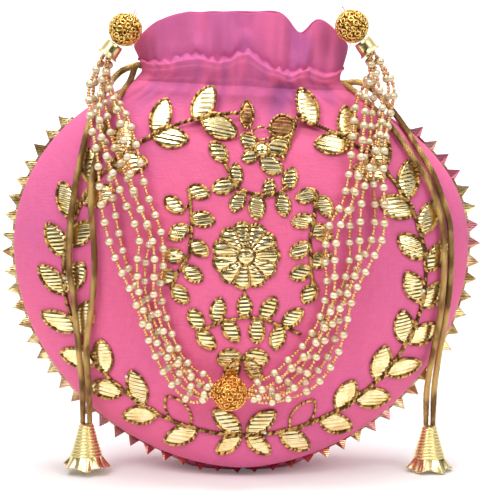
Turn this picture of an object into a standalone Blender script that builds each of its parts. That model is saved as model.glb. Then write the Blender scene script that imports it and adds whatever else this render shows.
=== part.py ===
"""Potli bag: a round drawstring bag of pink cloth with gold appliqué leaves and a pearl handle.

The front faces -Y, +X is to the viewer's right and the bag stands on z = 0.
The front and back panels meet at a side seam that lies in the plane y = SEAM_Y, apart from its
lowest stretch, which slides forward under the bag. All lengths are in metres.
"""

import math

import bmesh
import bpy
from mathutils import Vector

MM = 0.001

# Cloth body
BODY_HALF_WIDTH = 118 * MM
BELLY_HEIGHT = 118 * MM
DRAWN_BELLY = 118 * MM
SEAM_LIFT = 4 * MM
SHOULDER_RISE = 91 * MM
FRONT_BULGE = 44 * MM
BACK_BULGE = 40 * MM
SEAM_FORWARD = 16 * MM
SAG_ANGLE = math.radians(42)
ROUND_POWER = 1.24
LOWER_POWER = 0.75
CLOTH_THICKNESS = 1.0 * MM
LINING_THICKNESS = 0.8 * MM
LINING_SLACK = 1.3 * MM
POCKET_ROOM = 1.8
LINING_FLOOR_RISE = 3 * MM
CLEARANCE = 0.35 * MM

# Neck, drawstring channel and frill
NECK_HALF_WIDTH = 49 * MM
CHANNEL_HEIGHT = 9.5 * MM
NECK_TILT = 0.05
FRILL_FLARE = 6 * MM
FRILL_HEIGHT = 27.5 * MM
MOUTH_DEPTH = 13 * MM
PLEAT_DEPTH = 4 * MM
PLEAT_VALLEYS = (-0.86, -0.63, -0.37, 0.02, 0.53, 0.82)
PLEAT_WIDTH = 0.09
BACK_PLEAT_RATE = 13

# Gold zigzag edging in the seam
EDGING_THICKNESS = 0.7 * MM
EDGING_INSIDE = 1.0 * MM
TOOTH_LENGTH = 6.6 * MM
TOOTH_VALLEY = 0.8 * MM
TOOTH_PITCH = 9.3 * MM
EDGING_TOP = math.radians(43)
TOOTH_FOLD = math.radians(61)

# Drawstring cords and their cone tassels
CORD_DIAMETER = 3.2 * MM
CORD_POINT_STEP = 9 * MM
BELL_HEIGHT = 23 * MM
BELL_NECK_RADIUS = 3.4 * MM
BELL_RIM_RADIUS = 12 * MM
BELL_WALL = 0.8 * MM
BELL_RIBS = 6
BELL_RUFFLE = 1.1 * MM

# Pearl handle
STRANDS = 6
PEARL_DIAMETER = 4.2 * MM
SEED_DIAMETER = 1.6 * MM
PEARL_PITCH = 9.1 * MM
BEAD_SIDES = 4
BALL_DIAMETER = 17 * MM
BALL_WALL = 1.0 * MM
BALL_BORE = 3.0 * MM
CAP_LENGTH = 7.5 * MM
CAP_THROAT_RADIUS = 4.0 * MM
CAP_MOUTH_RADIUS = 5.6 * MM
CAP_WALL = 0.7 * MM
CENTRE_BEAD_DIAMETER = 18 * MM
THREAD_RING = 1.95 * MM
CENTRE_BEAD_BORE = 2.1 * (THREAD_RING + SEED_DIAMETER / 2 + CLEARANCE)
TIE_DIAMETER = 0.9 * MM

# Appliqué
STITCH_LIFT = 0.45 * MM
LEAF_HEIGHT = 1.0 * MM
VINE_WIDTH = 2.8 * MM
VINE_HEIGHT = 1.3 * MM
STEM_WIDTH = 2.0 * MM
STALK_WIDTH = 1.5 * MM
STALK_HEIGHT = 0.9 * MM
WREATH_CENTRE = (2 * MM, 106 * MM)
WREATH_HALF_WIDTH = 92 * MM
WREATH_HALF_HEIGHT = 82 * MM
FLOWER_RADIUS = 16.5 * MM
FLOWER_PETALS = 11
SMALL_FLOWER_RADIUS = 10.5 * MM

FRONT, BACK = -1, 1
DOWN = -math.pi / 2


def smooth(value):
    """Rises smoothly from 0 to 1 as value goes from 0 to 1."""
    value = min(1.0, max(0.0, value))
    return value * value * (3 - 2 * value)


def neck_angle(inset):
    """The angle up the shoulder at which the body meets the neck."""
    return math.acos((NECK_HALF_WIDTH - inset) / (BODY_HALF_WIDTH - inset))


def seam_at(angle, inset=0.0):
    """Half width, forward slide and height of the side seam at an angle from the belly line."""
    rise = SHOULDER_RISE if angle > 0 else BELLY_HEIGHT - SEAM_LIFT
    half_width = (BODY_HALF_WIDTH - inset) * math.cos(angle)
    height = BELLY_HEIGHT + (rise - inset) * math.sin(angle)
    slide = -SEAM_FORWARD * smooth((-angle - math.radians(35)) / math.radians(55))
    return half_width, slide, height


def roundness(angle):
    """How much of the full bulge a level of the body has."""
    level = max(0.0, math.cos(angle))
    return level if angle > 0 else level**LOWER_POWER


def frill_top(x):
    """Height of the frill's upper edge above the channel, with the dip between its two lobes."""
    across = x / (NECK_HALF_WIDTH + FRILL_FLARE)
    dip = math.exp(-(((across - 0.56) / 0.11) ** 2))
    slump = abs(across) ** 5
    return FRILL_HEIGHT * (1 - 0.36 * dip - 0.62 * slump)


def pleats(theta, side):
    """Pleat depth around the neck, 0 on a fold's crest and 1 in its valley."""
    across = math.cos(theta)
    if side == BACK:
        return 0.5 - 0.5 * math.cos(across * BACK_PLEAT_RATE)
    return max(math.exp(-(((across - v) / PLEAT_WIDTH) ** 2)) for v in PLEAT_VALLEYS)


def seam_gap(level):
    """Half of the gap between the two panels at the side seam."""
    edging = EDGING_THICKNESS / 2 + CLEARANCE * 1.2
    slit = CORD_DIAMETER * 1.1 + CLEARANCE
    closed = CLEARANCE * 1.5 + (edging - CLEARANCE / 2) * (1 - smooth((level - 0.78) / 0.12))
    closed += CLEARANCE * 1.5 * (1 - smooth((level - 0.1) / 0.2))
    return closed + (slit - closed) * smooth((level - 0.96) / 0.06) * smooth((1.56 - level) / 0.06)


def wall_point(theta, level, side, inset=0.0):
    """A point of the bag's wall: level 0 to 1 is the body, 1 to 1.5 the channel, 1.5 to 2 the frill.

    theta goes from 0 at the right seam to pi at the left one, and inset is how far inside the
    outer face the point lies.
    """
    shape = max(0.0, math.sin(theta)) ** ROUND_POWER
    gap = seam_gap(level)
    bulge = FRONT_BULGE if side == FRONT else BACK_BULGE
    neck_depth = bulge * roundness(neck_angle(0)) - inset
    top = neck_angle(inset)
    if level <= 1:
        angle = DOWN + level * (top - DOWN)
        half_width, slide, z = seam_at(angle, inset)
        x = half_width * math.cos(theta)
        reach = (bulge - inset) * roundness(angle)
        reach += (neck_depth - reach) * smooth((level - 0.8) / 0.2)
        if side == BACK:
            reach -= slide
            sag = SAG_ANGLE * smooth((-angle - math.radians(15)) / math.radians(75))
            y = slide + gap + reach * shape * math.cos(sag)
            z = max(inset, z - reach * shape * math.sin(sag))
        else:
            y = slide - gap - reach * shape
        z -= tilt_at(level) * x
        return Vector((x, SEAM_Y + y, z))
    rise = level - 1
    channel = min(1.0, rise / 0.5)
    frill = max(0.0, rise - 0.5) / 0.5
    half_width = NECK_HALF_WIDTH - inset + FRILL_FLARE * smooth(rise)
    x = half_width * math.cos(theta)
    shoulder, outer_shoulder = seam_at(top, inset)[2], seam_at(neck_angle(0))[2]
    z = shoulder + (outer_shoulder - shoulder) * smooth(rise / 0.1)
    z += CHANNEL_HEIGHT * channel + frill_top(x) * frill
    z -= NECK_TILT * x * (1 - frill)
    depth = neck_depth + (MOUTH_DEPTH - inset - neck_depth) * frill
    fold = PLEAT_DEPTH * pleats(theta, side) * smooth((rise - 0.42) / 0.4) * math.sin(theta)
    return Vector((x, SEAM_Y + side * (gap + depth * shape - fold), z))


def tilt_at(level):
    """How far the neck's tilt has set in at a level of the body."""
    return NECK_TILT * smooth((level - 0.6) / 0.4)


def front_y(x, z):
    """How far the front panel's outer face lies from the seam plane at a place seen from ahead."""
    level_z = z
    for _ in range(4):
        rise = SHOULDER_RISE if level_z > BELLY_HEIGHT else BELLY_HEIGHT - SEAM_LIFT
        angle = math.asin(max(-0.9999, min(0.9, (level_z - BELLY_HEIGHT) / rise)))
        level = (angle - DOWN) / (neck_angle(0) - DOWN)
        level_z = z + tilt_at(level) * x
    half_width, slide, _ = seam_at(angle)
    across = min(1.0, abs(x) / half_width)
    return slide - seam_gap(level) - FRONT_BULGE * roundness(angle) * (1 - across**2) ** (ROUND_POWER / 2)


def drawn_height(z):
    """A height drawn for the bag as it is, which follows the belly line above the tassels."""
    share = min(1.0, max(0.0, (z - BELL_HEIGHT) / (DRAWN_BELLY - BELL_HEIGHT)))
    return z + (BELLY_HEIGHT - DRAWN_BELLY) * share


def on_front(x, drawn_z, lift):
    """The point that stands off the front panel by lift, above the place x, z seen from ahead."""
    z = drawn_height(drawn_z)
    step = 2 * MM
    slope_x = (front_y(x + step, z) - front_y(x - step, z)) / (2 * step)
    slope_z = (front_y(x, z + step) - front_y(x, z - step)) / (2 * step)
    normal = Vector((slope_x, -1, slope_z)).normalized()
    return Vector((x, SEAM_Y + front_y(x, z), z)) + normal * lift


BEAD_PLACE = (-5.6 * MM, drawn_height(48.5 * MM))
STITCH_TOP = STITCH_LIFT + VINE_HEIGHT
SEAM_Y = 0.0
BEAD_OUT = STITCH_TOP + CLEARANCE + CENTRE_BEAD_DIAMETER / 2
FRONT_REACH = -front_y(*BEAD_PLACE) + BEAD_OUT + CENTRE_BEAD_DIAMETER / 2
BACK_REACH = BACK_BULGE + seam_gap(0.5)
SEAM_Y = (FRONT_REACH - BACK_REACH) / 2


for old in list(bpy.data.objects):
    bpy.data.objects.remove(old)

BAG = bpy.data.collections.new("potli_bag")
HELPERS = bpy.data.collections.new("stitched_on")
bpy.context.scene.collection.children.link(BAG)
bpy.context.scene.collection.children.link(HELPERS)


def material(name, colour, roughness, metallic=0.0):
    made = bpy.data.materials.new(name)
    made.use_nodes = True
    shader = made.node_tree.nodes["Principled BSDF"]
    shader.inputs["Base Color"].default_value = (*colour, 1)
    shader.inputs["Roughness"].default_value = roughness
    shader.inputs["Metallic"].default_value = metallic
    made.diffuse_color = (*colour, 1)
    return made


PINK_CLOTH = material("pink_cloth", (0.90, 0.16, 0.42), 0.65)
LINING_CLOTH = material("lining_cloth", (0.85, 0.42, 0.58), 0.8)
GOLD_FOIL = material("gold_foil", (0.86, 0.68, 0.26), 0.25, 1.0)
GOLD_BRAID = material("gold_braid", (0.48, 0.32, 0.10), 0.5, 0.5)
CORD_BRAID = material("cord_braid", (0.42, 0.26, 0.08), 0.6)
GOLD_METAL = material("gold_metal", (0.90, 0.70, 0.30), 0.3, 1.0)
PEARL = material("pearl", (0.93, 0.86, 0.70), 0.25)
NYLON = material("nylon", (0.85, 0.82, 0.75), 0.4)


def add_object(name, mesh, finish, collection=None):
    made = bpy.data.objects.new(name, mesh)
    (collection or BAG).objects.link(made)
    mesh.materials.clear()
    mesh.materials.append(finish)
    return made


def mesh_from(bm, name):
    mesh = bpy.data.meshes.new(name)
    bm.to_mesh(mesh)
    bm.free()
    return mesh


def solidify(target, thickness):
    wall = target.modifiers.new("wall", "SOLIDIFY")
    wall.thickness = thickness
    wall.offset = -1
    return wall


def smooth_path(points, step):
    """Points about step apart along a smooth curve through the given ones."""
    points = [Vector(p) for p in points]
    ends = [2 * points[0] - points[1], *points, 2 * points[-1] - points[-2]]
    fine = []
    for a, b, c, d in zip(ends, ends[1:], ends[2:], ends[3:]):
        for k in range(12):
            t = k / 12
            bend = (2 * a - 5 * b + 4 * c - d) * t * t + (3 * b - a - 3 * c + d) * t**3
            fine.append(0.5 * (2 * b + (c - a) * t + bend))
    fine.append(points[-1])
    lengths = [0.0]
    for a, b in zip(fine, fine[1:]):
        lengths.append(lengths[-1] + (b - a).length)
    count = max(2, round(lengths[-1] / step))
    spaced, at = [], 0
    for k in range(count + 1):
        goal = lengths[-1] * k / count
        while at < len(fine) - 2 and lengths[at + 1] < goal:
            at += 1
        part = (goal - lengths[at]) / max(1e-9, lengths[at + 1] - lengths[at])
        spaced.append(fine[at].lerp(fine[at + 1], min(1.0, part)))
    return spaced


def tube(name, points, diameter, finish):
    """A round tube with filled caps along the points."""
    curve = bpy.data.curves.new(name, "CURVE")
    curve.dimensions = "3D"
    curve.bevel_depth = diameter / 2
    curve.bevel_resolution = 2
    curve.use_fill_caps = True
    spline = curve.splines.new("POLY")
    spline.points.add(len(points) - 1)
    for spot, point in zip(spline.points, points):
        spot.co = (*point, 1)
    made = bpy.data.objects.new(name, curve)
    BAG.objects.link(made)
    curve.materials.append(finish)
    return made


def panel(name, side, columns, levels):
    """One cloth panel from the seam's lowest point up to the frill's edge."""
    bm = bmesh.new()
    pole = bm.verts.new(wall_point(math.pi / 2, 0, side))
    rows = []
    for level in levels:
        row = [bm.verts.new(wall_point(math.pi * k / columns, level, side)) for k in range(columns + 1)]
        rows.append(row)
    turn = 1 if side == FRONT else -1
    for a, b in zip(rows[0], rows[0][1:]):
        bm.faces.new((pole, b, a)[::-turn])
    for low, high in zip(rows, rows[1:]):
        for k in range(columns):
            bm.faces.new((low[k], low[k + 1], high[k + 1], high[k])[::-turn])
    made = add_object(name, mesh_from(bm, name), PINK_CLOTH)
    solidify(made, CLOTH_THICKNESS)
    made.data.shade_smooth()
    return made


def lining():
    """The inner bag, open at the top, with a pocket for the drawstrings at the channel."""
    inset = CLOTH_THICKNESS + CLEARANCE + LINING_SLACK
    room = CORD_DIAMETER * POCKET_ROOM + 2 * CLEARANCE
    columns = 12
    bm = bmesh.new()
    rows = []
    for level in (0.06, 0.13, 0.21, 0.31, 0.44, 0.58, 0.72, 0.84, 0.96, 1.03, 1.46, 1.53):
        pocket = smooth((level - 0.85) / 0.1) * smooth((1.54 - level) / 0.08)
        depth = inset + room * pocket
        ring = [wall_point(math.pi * k / columns, level, FRONT, depth) for k in range(columns + 1)]
        ring += [wall_point(math.pi - math.pi * k / columns, level, BACK, depth) for k in range(columns + 1)]
        rows.append([bm.verts.new(p) for p in ring])
    for low, high in zip(rows, rows[1:]):
        for k in range(len(low)):
            n = (k + 1) % len(low)
            bm.faces.new((high[k], high[n], low[n], low[k]))
    middle = sum((v.co for v in rows[0]), Vector()) / len(rows[0])
    floor = bm.verts.new(middle + Vector((0, 0, LINING_FLOOR_RISE)))
    for k in range(len(rows[0])):
        bm.faces.new((rows[0][k], rows[0][(k + 1) % len(rows[0])], floor))
    made = add_object("lining", mesh_from(bm, "lining"), LINING_CLOTH)
    solidify(made, LINING_THICKNESS)
    return made


def edging_station(angle, side, reach):
    """Front and back points of the edging at a seam angle, reach outside the seam."""
    half_width, slide, height = seam_at(angle)
    rise = SHOULDER_RISE if angle > 0 else BELLY_HEIGHT - SEAM_LIFT
    outward = Vector((side * math.cos(angle) / BODY_HALF_WIDTH, 0, math.sin(angle) / rise)).normalized()
    fold = TOOTH_FOLD * smooth((-angle - math.radians(38)) / math.radians(52))
    x = side * half_width
    height -= tilt_at((angle - DOWN) / (neck_angle(0) - DOWN)) * x
    seam = Vector((x, SEAM_Y + slide, height))
    if reach <= 0:
        return seam + outward * reach
    return seam + outward * reach * math.cos(fold) + Vector((0, -reach * math.sin(fold), 0))


def seam_stations():
    """Seam angles and sides, half a tooth apart, from the left end round the bottom to the right."""
    fine = [(EDGING_TOP + (DOWN - EDGING_TOP) * k / 400, -1) for k in range(401)]
    fine += [(angle, 1) for angle, _ in fine[-2::-1]]
    places = [edging_station(angle, side, 0) for angle, side in fine]
    along = [0.0]
    for a, b in zip(places, places[1:]):
        along.append(along[-1] + (b - a).length)
    steps = 2 * round(along[-1] / TOOTH_PITCH)
    picked, at = [], 0
    for k in range(steps + 1):
        while at < len(along) - 1 and along[at] < along[-1] * k / steps:
            at += 1
        picked.append(fine[at])
    return picked


def edging():
    """The folded gold zigzag: a band sewn into the seam with a tooth at every second station."""
    half = EDGING_THICKNESS / 2
    across = Vector((0, half, 0))
    bm = bmesh.new()
    rows = []
    for k, (angle, side) in enumerate(seam_stations()):
        tip = k % 2 == 1
        inner = edging_station(angle, side, -EDGING_INSIDE)
        outer = edging_station(angle, side, TOOTH_LENGTH if tip else TOOTH_VALLEY)
        thin = across * (0.4 if tip else 1.0)
        rows.append([bm.verts.new(p) for p in (inner - across, outer - thin, outer + thin, inner + across)])
    for a, b in zip(rows, rows[1:]):
        for k in range(4):
            n = (k + 1) % 4
            bm.faces.new((a[k], a[n], b[n], b[k]))
    bm.faces.new(rows[0][::-1])
    bm.faces.new(rows[-1])
    bmesh.ops.recalc_face_normals(bm, faces=bm.faces)
    return add_object("zigzag_edging", mesh_from(bm, "zigzag_edging"), GOLD_FOIL)


def leaf(bm, place, angle, length, width):
    """A padded foil leaf that starts at place, seen from ahead, and follows the front panel."""
    along = Vector((math.cos(angle), math.sin(angle)))
    across = Vector((-along.y, along.x))
    outline = ((0, 0), (0.28, 0.5), (0.72, 0.45), (1, 0), (0.72, -0.45), (0.28, -0.5))
    spine = ((0.28, 0), (0.72, 0))
    layers = []
    for lift, crown in ((STITCH_LIFT + 0.08 * MM, 0), (STITCH_LIFT + LEAF_HEIGHT, 0.3 * MM)):
        spots = []
        for k, (s, w) in enumerate(outline + spine):
            x, z = Vector(place) + along * s * length + across * w * width
            spots.append(bm.verts.new(on_front(x, z, lift + (crown if k > 5 else 0))))
        layers.append(spots)
    faces = ((0, 1, 6), (1, 2, 7, 6), (2, 3, 7), (3, 4, 7), (4, 5, 6, 7), (5, 0, 6))
    for flip, spots in zip((1, -1), layers):
        for face in faces:
            bm.faces.new([spots[i] for i in face][::flip])
    low, high = layers
    for k in range(6):
        n = (k + 1) % 6
        bm.faces.new((low[k], high[k], high[n], low[n]))


def ribbon(bm, path, width, height=VINE_HEIGHT):
    """A couched cord laid along a path of x, z places on the front panel, with square section."""
    rows = []
    for k, spot in enumerate(path):
        spot = Vector(spot)
        along = (Vector(path[min(k + 1, len(path) - 1)]) - Vector(path[max(k - 1, 0)])).normalized()
        across = Vector((-along.y, along.x)) * width / 2
        corners = []
        for edge, lift in ((-1, 0), (1, 0), (1, height), (-1, height)):
            x, z = spot + across * edge * (1 if lift == 0 else 0.6)
            corners.append(bm.verts.new(on_front(x, z, STITCH_LIFT + lift)))
        rows.append(corners)
    for a, b in zip(rows, rows[1:]):
        for k in range(4):
            n = (k + 1) % 4
            bm.faces.new((a[k], b[k], b[n], a[n]))
    bm.faces.new(rows[0])
    bm.faces.new(rows[-1][::-1])


def scalloped_disc(bm, place, radius, petals, dome):
    """A round flower with one low ridge for each petal and a raised middle."""
    spokes = 2 * petals
    rings = ((0.28, dome), (0.62, dome * 0.75), (1.0, 0))
    rows = {}
    for layer in (0, 1):
        for share, rise in rings:
            row = []
            for k in range(spokes):
                crest = k % 2 == 0
                reach = radius * share * (1 if crest or share < 0.5 else 0.9)
                turn = 2 * math.pi * k / spokes
                lift = STITCH_LIFT + layer * (LEAF_HEIGHT + rise - (0 if crest else 0.25 * MM))
                spot = on_front(place[0] + reach * math.cos(turn), place[1] + reach * math.sin(turn), lift)
                row.append(bm.verts.new(spot))
            rows[layer, share] = row
    low = bm.verts.new(on_front(*place, STITCH_LIFT))
    high = bm.verts.new(on_front(*place, STITCH_LIFT + LEAF_HEIGHT + dome * 1.2))
    shares = [share for share, _ in rings]
    for k in range(spokes):
        n = (k + 1) % spokes
        bm.faces.new((high, rows[1, shares[0]][k], rows[1, shares[0]][n]))
        bm.faces.new((low, rows[0, shares[0]][n], rows[0, shares[0]][k]))
        for a, b in zip(shares, shares[1:]):
            bm.faces.new((rows[1, a][k], rows[1, b][k], rows[1, b][n], rows[1, a][n]))
            bm.faces.new((rows[0, a][n], rows[0, b][n], rows[0, b][k], rows[0, a][k]))
        rim = shares[-1]
        bm.faces.new((rows[1, rim][k], rows[0, rim][k], rows[0, rim][n], rows[1, rim][n]))


def appliqué(name, base, pieces):
    """One piece of appliqué: a base shape with its leaves or stems fused to it."""
    bm = bmesh.new()
    base(bm)
    bmesh.ops.recalc_face_normals(bm, faces=bm.faces)
    made = add_object(name, mesh_from(bm, name), GOLD_FOIL)
    for number, piece in enumerate(pieces):
        bm = bmesh.new()
        piece(bm)
        bmesh.ops.recalc_face_normals(bm, faces=bm.faces)
        helper_name = f"{name}_piece_{number}"
        helper = add_object(helper_name, mesh_from(bm, helper_name), GOLD_FOIL, HELPERS)
        helper.hide_render = True
        helper.display_type = "WIRE"
        join = made.modifiers.new("join", "BOOLEAN")
        join.operation = "UNION"
        join.use_self = True
        join.object = helper
    return made


def wreath_spot(turn, side, share=1.0):
    """A place on the wreath, turn down from its top, on the side given, share of its size."""
    x = WREATH_CENTRE[0] + side * share * WREATH_HALF_WIDTH * math.sin(turn)
    return x, WREATH_CENTRE[1] + share * WREATH_HALF_HEIGHT * math.cos(turn)


def wreath_leaf(side, turn, swing, length, width):
    """A leaf that leaves the wreath's vine at turn, swung from the way the vine grows."""
    x, z = wreath_spot(turn, side)
    ahead = wreath_spot(turn - 0.02, side)
    growth = math.atan2(ahead[1] - z, ahead[0] - x)
    angle = growth - side * swing
    return lambda bm: leaf(bm, (x, z), angle, length, width)


def wreath_leaves(side, rows):
    """Leaves in rows of start, step and last turn in degrees, with their swing and their size."""
    leaves = []
    for start, step, count, swing, length, width in rows:
        for k in range(count):
            turn = math.radians(start + step * k)
            leaves.append(wreath_leaf(side, turn, math.radians(swing), length, width))
    return leaves


def all_of(makers):
    """One maker that runs several, for pieces that don't touch each other."""
    return lambda bm: [make(bm) for make in makers]


def vine(side, top_turn):
    """The wreath's vine on one side, from top_turn down to the lowest point."""
    bottom = math.pi - 0.012
    count = 34
    turns = [top_turn + (bottom - top_turn) * k / count for k in range(count + 1)]
    return lambda bm: ribbon(bm, [wreath_spot(t, side) for t in turns], VINE_WIDTH)


def half_wreath(name, side, top_turn, outer, inner, petals):
    makers = [all_of(wreath_leaves(side, [outer])), all_of(wreath_leaves(side, [inner])), all_of(petals)]
    return appliqué(name, vine(side, top_turn), makers)


def spray(name, stem, leaves, width=STEM_WIDTH):
    """A short stem of x, z places in millimetres with leaves of x, z, length, width and angle."""
    path = [p.xy for p in smooth_path([(x * MM, z * MM, 0) for x, z in stem], 7 * MM)]
    fine = [p.xy for p in smooth_path([(x * MM, z * MM, 0) for x, z in stem], 1 * MM)]
    leaf_makers, stalk_makers = [], []
    for x, z, length, wide, degrees in leaves:
        middle = Vector((x, z)) * MM
        along = Vector((math.cos(math.radians(degrees)), math.sin(math.radians(degrees))))
        start = middle - along * length * MM / 2
        joint = min(fine, key=lambda p: (p - middle).length)
        leaf_makers.append(lambda bm, s=start, a=math.radians(degrees), l=length, w=wide: leaf(
            bm, s, a, l * MM, w * MM))
        near = min((start, start + along * length * MM), key=lambda p: (p - joint).length)
        if (near - joint).length > width * 0.3:
            stalk_makers.append(lambda bm, j=joint, m=middle: ribbon(bm, [j, m], STALK_WIDTH, STALK_HEIGHT))
    return appliqué(name, lambda bm: ribbon(bm, path, width), [all_of(leaf_makers), all_of(stalk_makers)])


def turned(name, profile, steps, finish, place, axis):
    """A turned piece: a profile of radius and height pairs, run outside first, about an axis."""
    bm = bmesh.new()
    spots = [bm.verts.new((radius, 0, height)) for radius, height in profile]
    for a, b in zip(spots, spots[1:] + spots[:1]):
        bm.edges.new((a, b))
    made = add_object(name, mesh_from(bm, name), finish)
    screw = made.modifiers.new("turn", "SCREW")
    screw.steps = screw.render_steps = steps
    screw.use_merge_vertices = True
    screw.merge_threshold = 0.00001
    made.location = place
    made.rotation_euler = Vector((0, 0, 1)).rotation_difference(Vector(axis)).to_euler()
    return made


def hollow_ball(name, diameter, bore, wall, finish, place, axis):
    """A thin ball with a hole at each end for the threads."""
    outer, inner = diameter / 2, diameter / 2 - wall
    profile = []
    for radius, count, run in ((outer, 7, 1), (inner, 4, -1)):
        opening = math.asin(bore / 2 / radius)
        for k in range(count + 1):
            turn = opening + (math.pi - 2 * opening) * k / count
            profile.append((radius * math.sin(turn), radius * math.cos(turn) * run))
    return turned(name, profile, 12, finish, place, axis)


def end_cap(name, place, axis):
    """A flared cup that hides the strand ends, its mouth at place and its axis towards the ball."""
    flare = ((0.0, 1.0), (0.25, 0.82), (0.6, 0.74), (1.0, CAP_THROAT_RADIUS / CAP_MOUTH_RADIUS))
    outside = [(CAP_MOUTH_RADIUS * share, CAP_LENGTH * height) for height, share in flare[::-1]]
    hole = BALL_BORE / 2
    inside = [(radius - CAP_WALL, min(height, CAP_LENGTH - CAP_WALL)) for radius, height in outside[::-1]]
    profile = outside + inside + [(hole, CAP_LENGTH - CAP_WALL), (hole, CAP_LENGTH)]
    return turned(name, profile, 12, GOLD_METAL, place, axis)


def bell(name, place, lean):
    """A ribbed cone tassel, its neck at place, with a flared and ruffled rim."""
    outside = []
    cone = BELL_HEIGHT * 0.66
    for k in range(2 * BELL_RIBS + 1):
        share = k / (2 * BELL_RIBS)
        radius = BELL_NECK_RADIUS + (BELL_RIM_RADIUS * 0.62 - BELL_NECK_RADIUS) * share**1.15
        outside.append((radius + (0.35 * MM if k % 2 else 0), -cone * share))
    outside.append((BELL_RIM_RADIUS * 0.8, -BELL_HEIGHT * 0.86))
    outside.append((BELL_RIM_RADIUS, -BELL_HEIGHT))
    inside = [(BELL_RIM_RADIUS * 0.8 - BELL_WALL, -BELL_HEIGHT * 0.86 - BELL_WALL * 0.5)]
    inside.append((BELL_RIM_RADIUS * 0.62 - BELL_WALL, -cone))
    inside.append((BELL_NECK_RADIUS - BELL_WALL, -BELL_WALL - CORD_DIAMETER))
    inside.append((BELL_NECK_RADIUS - BELL_WALL, 0))
    made = turned(name, outside + inside, 15, GOLD_METAL, place, lean)
    evaluated = made.evaluated_get(bpy.context.evaluated_depsgraph_get())
    mesh = bpy.data.meshes.new_from_object(evaluated)
    for vertex in mesh.vertices:
        flare = max(0.0, math.hypot(vertex.co.x, vertex.co.y) / BELL_RIM_RADIUS - 0.7) / 0.3
        turn = math.atan2(vertex.co.y, vertex.co.x)
        vertex.co.z += BELL_RUFFLE * (1 + math.cos(5 * turn)) * flare
    made.modifiers.clear()
    made.data = mesh
    return made


def resting(points, hang):
    """Route points of x, z and stand-off in millimetres, laid on the front or hanging clear of it."""
    laid = []
    for x, drawn_z, off in points:
        z = drawn_height(drawn_z * MM)
        y = min(-hang, front_y(x * MM, z) - off * MM)
        laid.append(Vector((x * MM, SEAM_Y + y, z)))
    return laid


def facing(spot):
    """The way that cloth behind a spot faces, held within 45 degrees of straight ahead."""
    step = 4 * MM
    slopes = []
    for along_x, along_z in ((step, 0), (0, step)):
        ahead = front_y(spot.x + along_x, spot.z + along_z)
        behind = front_y(spot.x - along_x, spot.z - along_z)
        slopes.append(max(-1.0, min(1.0, (ahead - behind) / (2 * step))))
    return Vector((slopes[0], -1, slopes[1])).normalized()


# The middle of the handle's bundle on each side, from the cap to the centre bead.
LEFT_ROUTE = (
    (-68.0, 216.0, 6), (-70.0, 206.5, 11), (-70.2, 197, 18.5), (-66.4, 184, 16), (-62.4, 170, 14),
    (-57.0, 148, 9.5), (-50.6, 128, 7), (-49.5, 114, 7), (-47.5, 98, 7), (-41.8, 80, 7),
    (-35.0, 66, 7.2), (-28.0, 56, 8), (-20.0, 50, 10),
)  # fmt: skip
RIGHT_ROUTE = (
    (65.6, 217.6, 6), (68.6, 208, 10), (69.0, 199, 13.5), (67.0, 188, 14), (64.5, 174, 12),
    (61.5, 158, 9), (59.5, 143, 7), (56.5, 129, 7), (53.5, 114, 7), (49.8, 100, 7),
    (45.5, 86, 7), (39.5, 71, 7), (30.0, 58, 7.2), (19.0, 50.5, 8), (9.0, 48.5, 10),
)  # fmt: skip
LEFT_SPREAD = (2.0, 3.6, 5.6, 9, 11.5, 12, 10.6, 8, 5, 6, 6, 5, 4.8)
RIGHT_SPREAD = (2.0, 3.8, 6.4, 8, 8.6, 9, 8.8, 10, 8.6, 7, 7, 6.6, 6.6, 6, 4.8)
LAYER = 2.45 * MM
HANDLE_HANG = 16 * MM


def cap_axis(side):
    """The way each end of the handle points, from the cap's mouth to the ball."""
    return Vector((-side * 0.57, 0.07, 0.81)).normalized()


def cap_mouth(side):
    return resting([(LEFT_ROUTE if side < 0 else RIGHT_ROUTE)[0]], HANDLE_HANG)[0]


def ball_centre(side):
    gap = CLEARANCE + BALL_DIAMETER / 2
    return cap_mouth(side) + cap_axis(side) * (CAP_LENGTH + gap)


def bead_centre():
    x, z = BEAD_PLACE
    return Vector((x, SEAM_Y + front_y(x, z) - BEAD_OUT, z))


def strand_half(side, number):
    """Centre points of one strand from inside the cap to inside the centre bead."""
    route = LEFT_ROUTE if side < 0 else RIGHT_ROUTE
    spread = LEFT_SPREAD if side < 0 else RIGHT_SPREAD
    column, layer = number % 3 - 1, number // 3
    turn = math.radians(90 - 60 * column) * (1 if layer else -1)
    tight = Vector((THREAD_RING * math.cos(turn), THREAD_RING * math.sin(turn)))
    middle = resting(route, HANDLE_HANG)
    inside_cap = cap_mouth(side) + cap_axis(side) * (CAP_LENGTH - CAP_WALL - 2 * CLEARANCE - 2 * MM)
    bead = bead_centre()
    towards = Vector((-side * 1.0, 0, 0))
    middle = [inside_cap, cap_mouth(side), *middle[1:]]
    spreads = [0, 0, *spread[1:]]
    middle += [bead - towards * CENTRE_BEAD_DIAMETER * 0.56, bead - towards * CENTRE_BEAD_DIAMETER * 0.4, bead]
    spreads += [0, 0, 0]
    ahead = Vector((0, -1, 0))
    points = []
    for k, spot in enumerate(middle):
        along = (middle[min(k + 1, len(middle) - 1)] - middle[max(k - 1, 0)]).normalized()
        normal = facing(spot) if spreads[k] else ahead
        across = along.cross(normal).normalized() * -side
        outward = (across.cross(along) * -side).normalized()
        if spreads[k] == 0:
            shift = tight
        else:
            shift = Vector((column * spreads[k] * MM, LAYER if layer else -LAYER))
        points.append(spot + across * shift.x + outward * shift.y)
    return points


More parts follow.
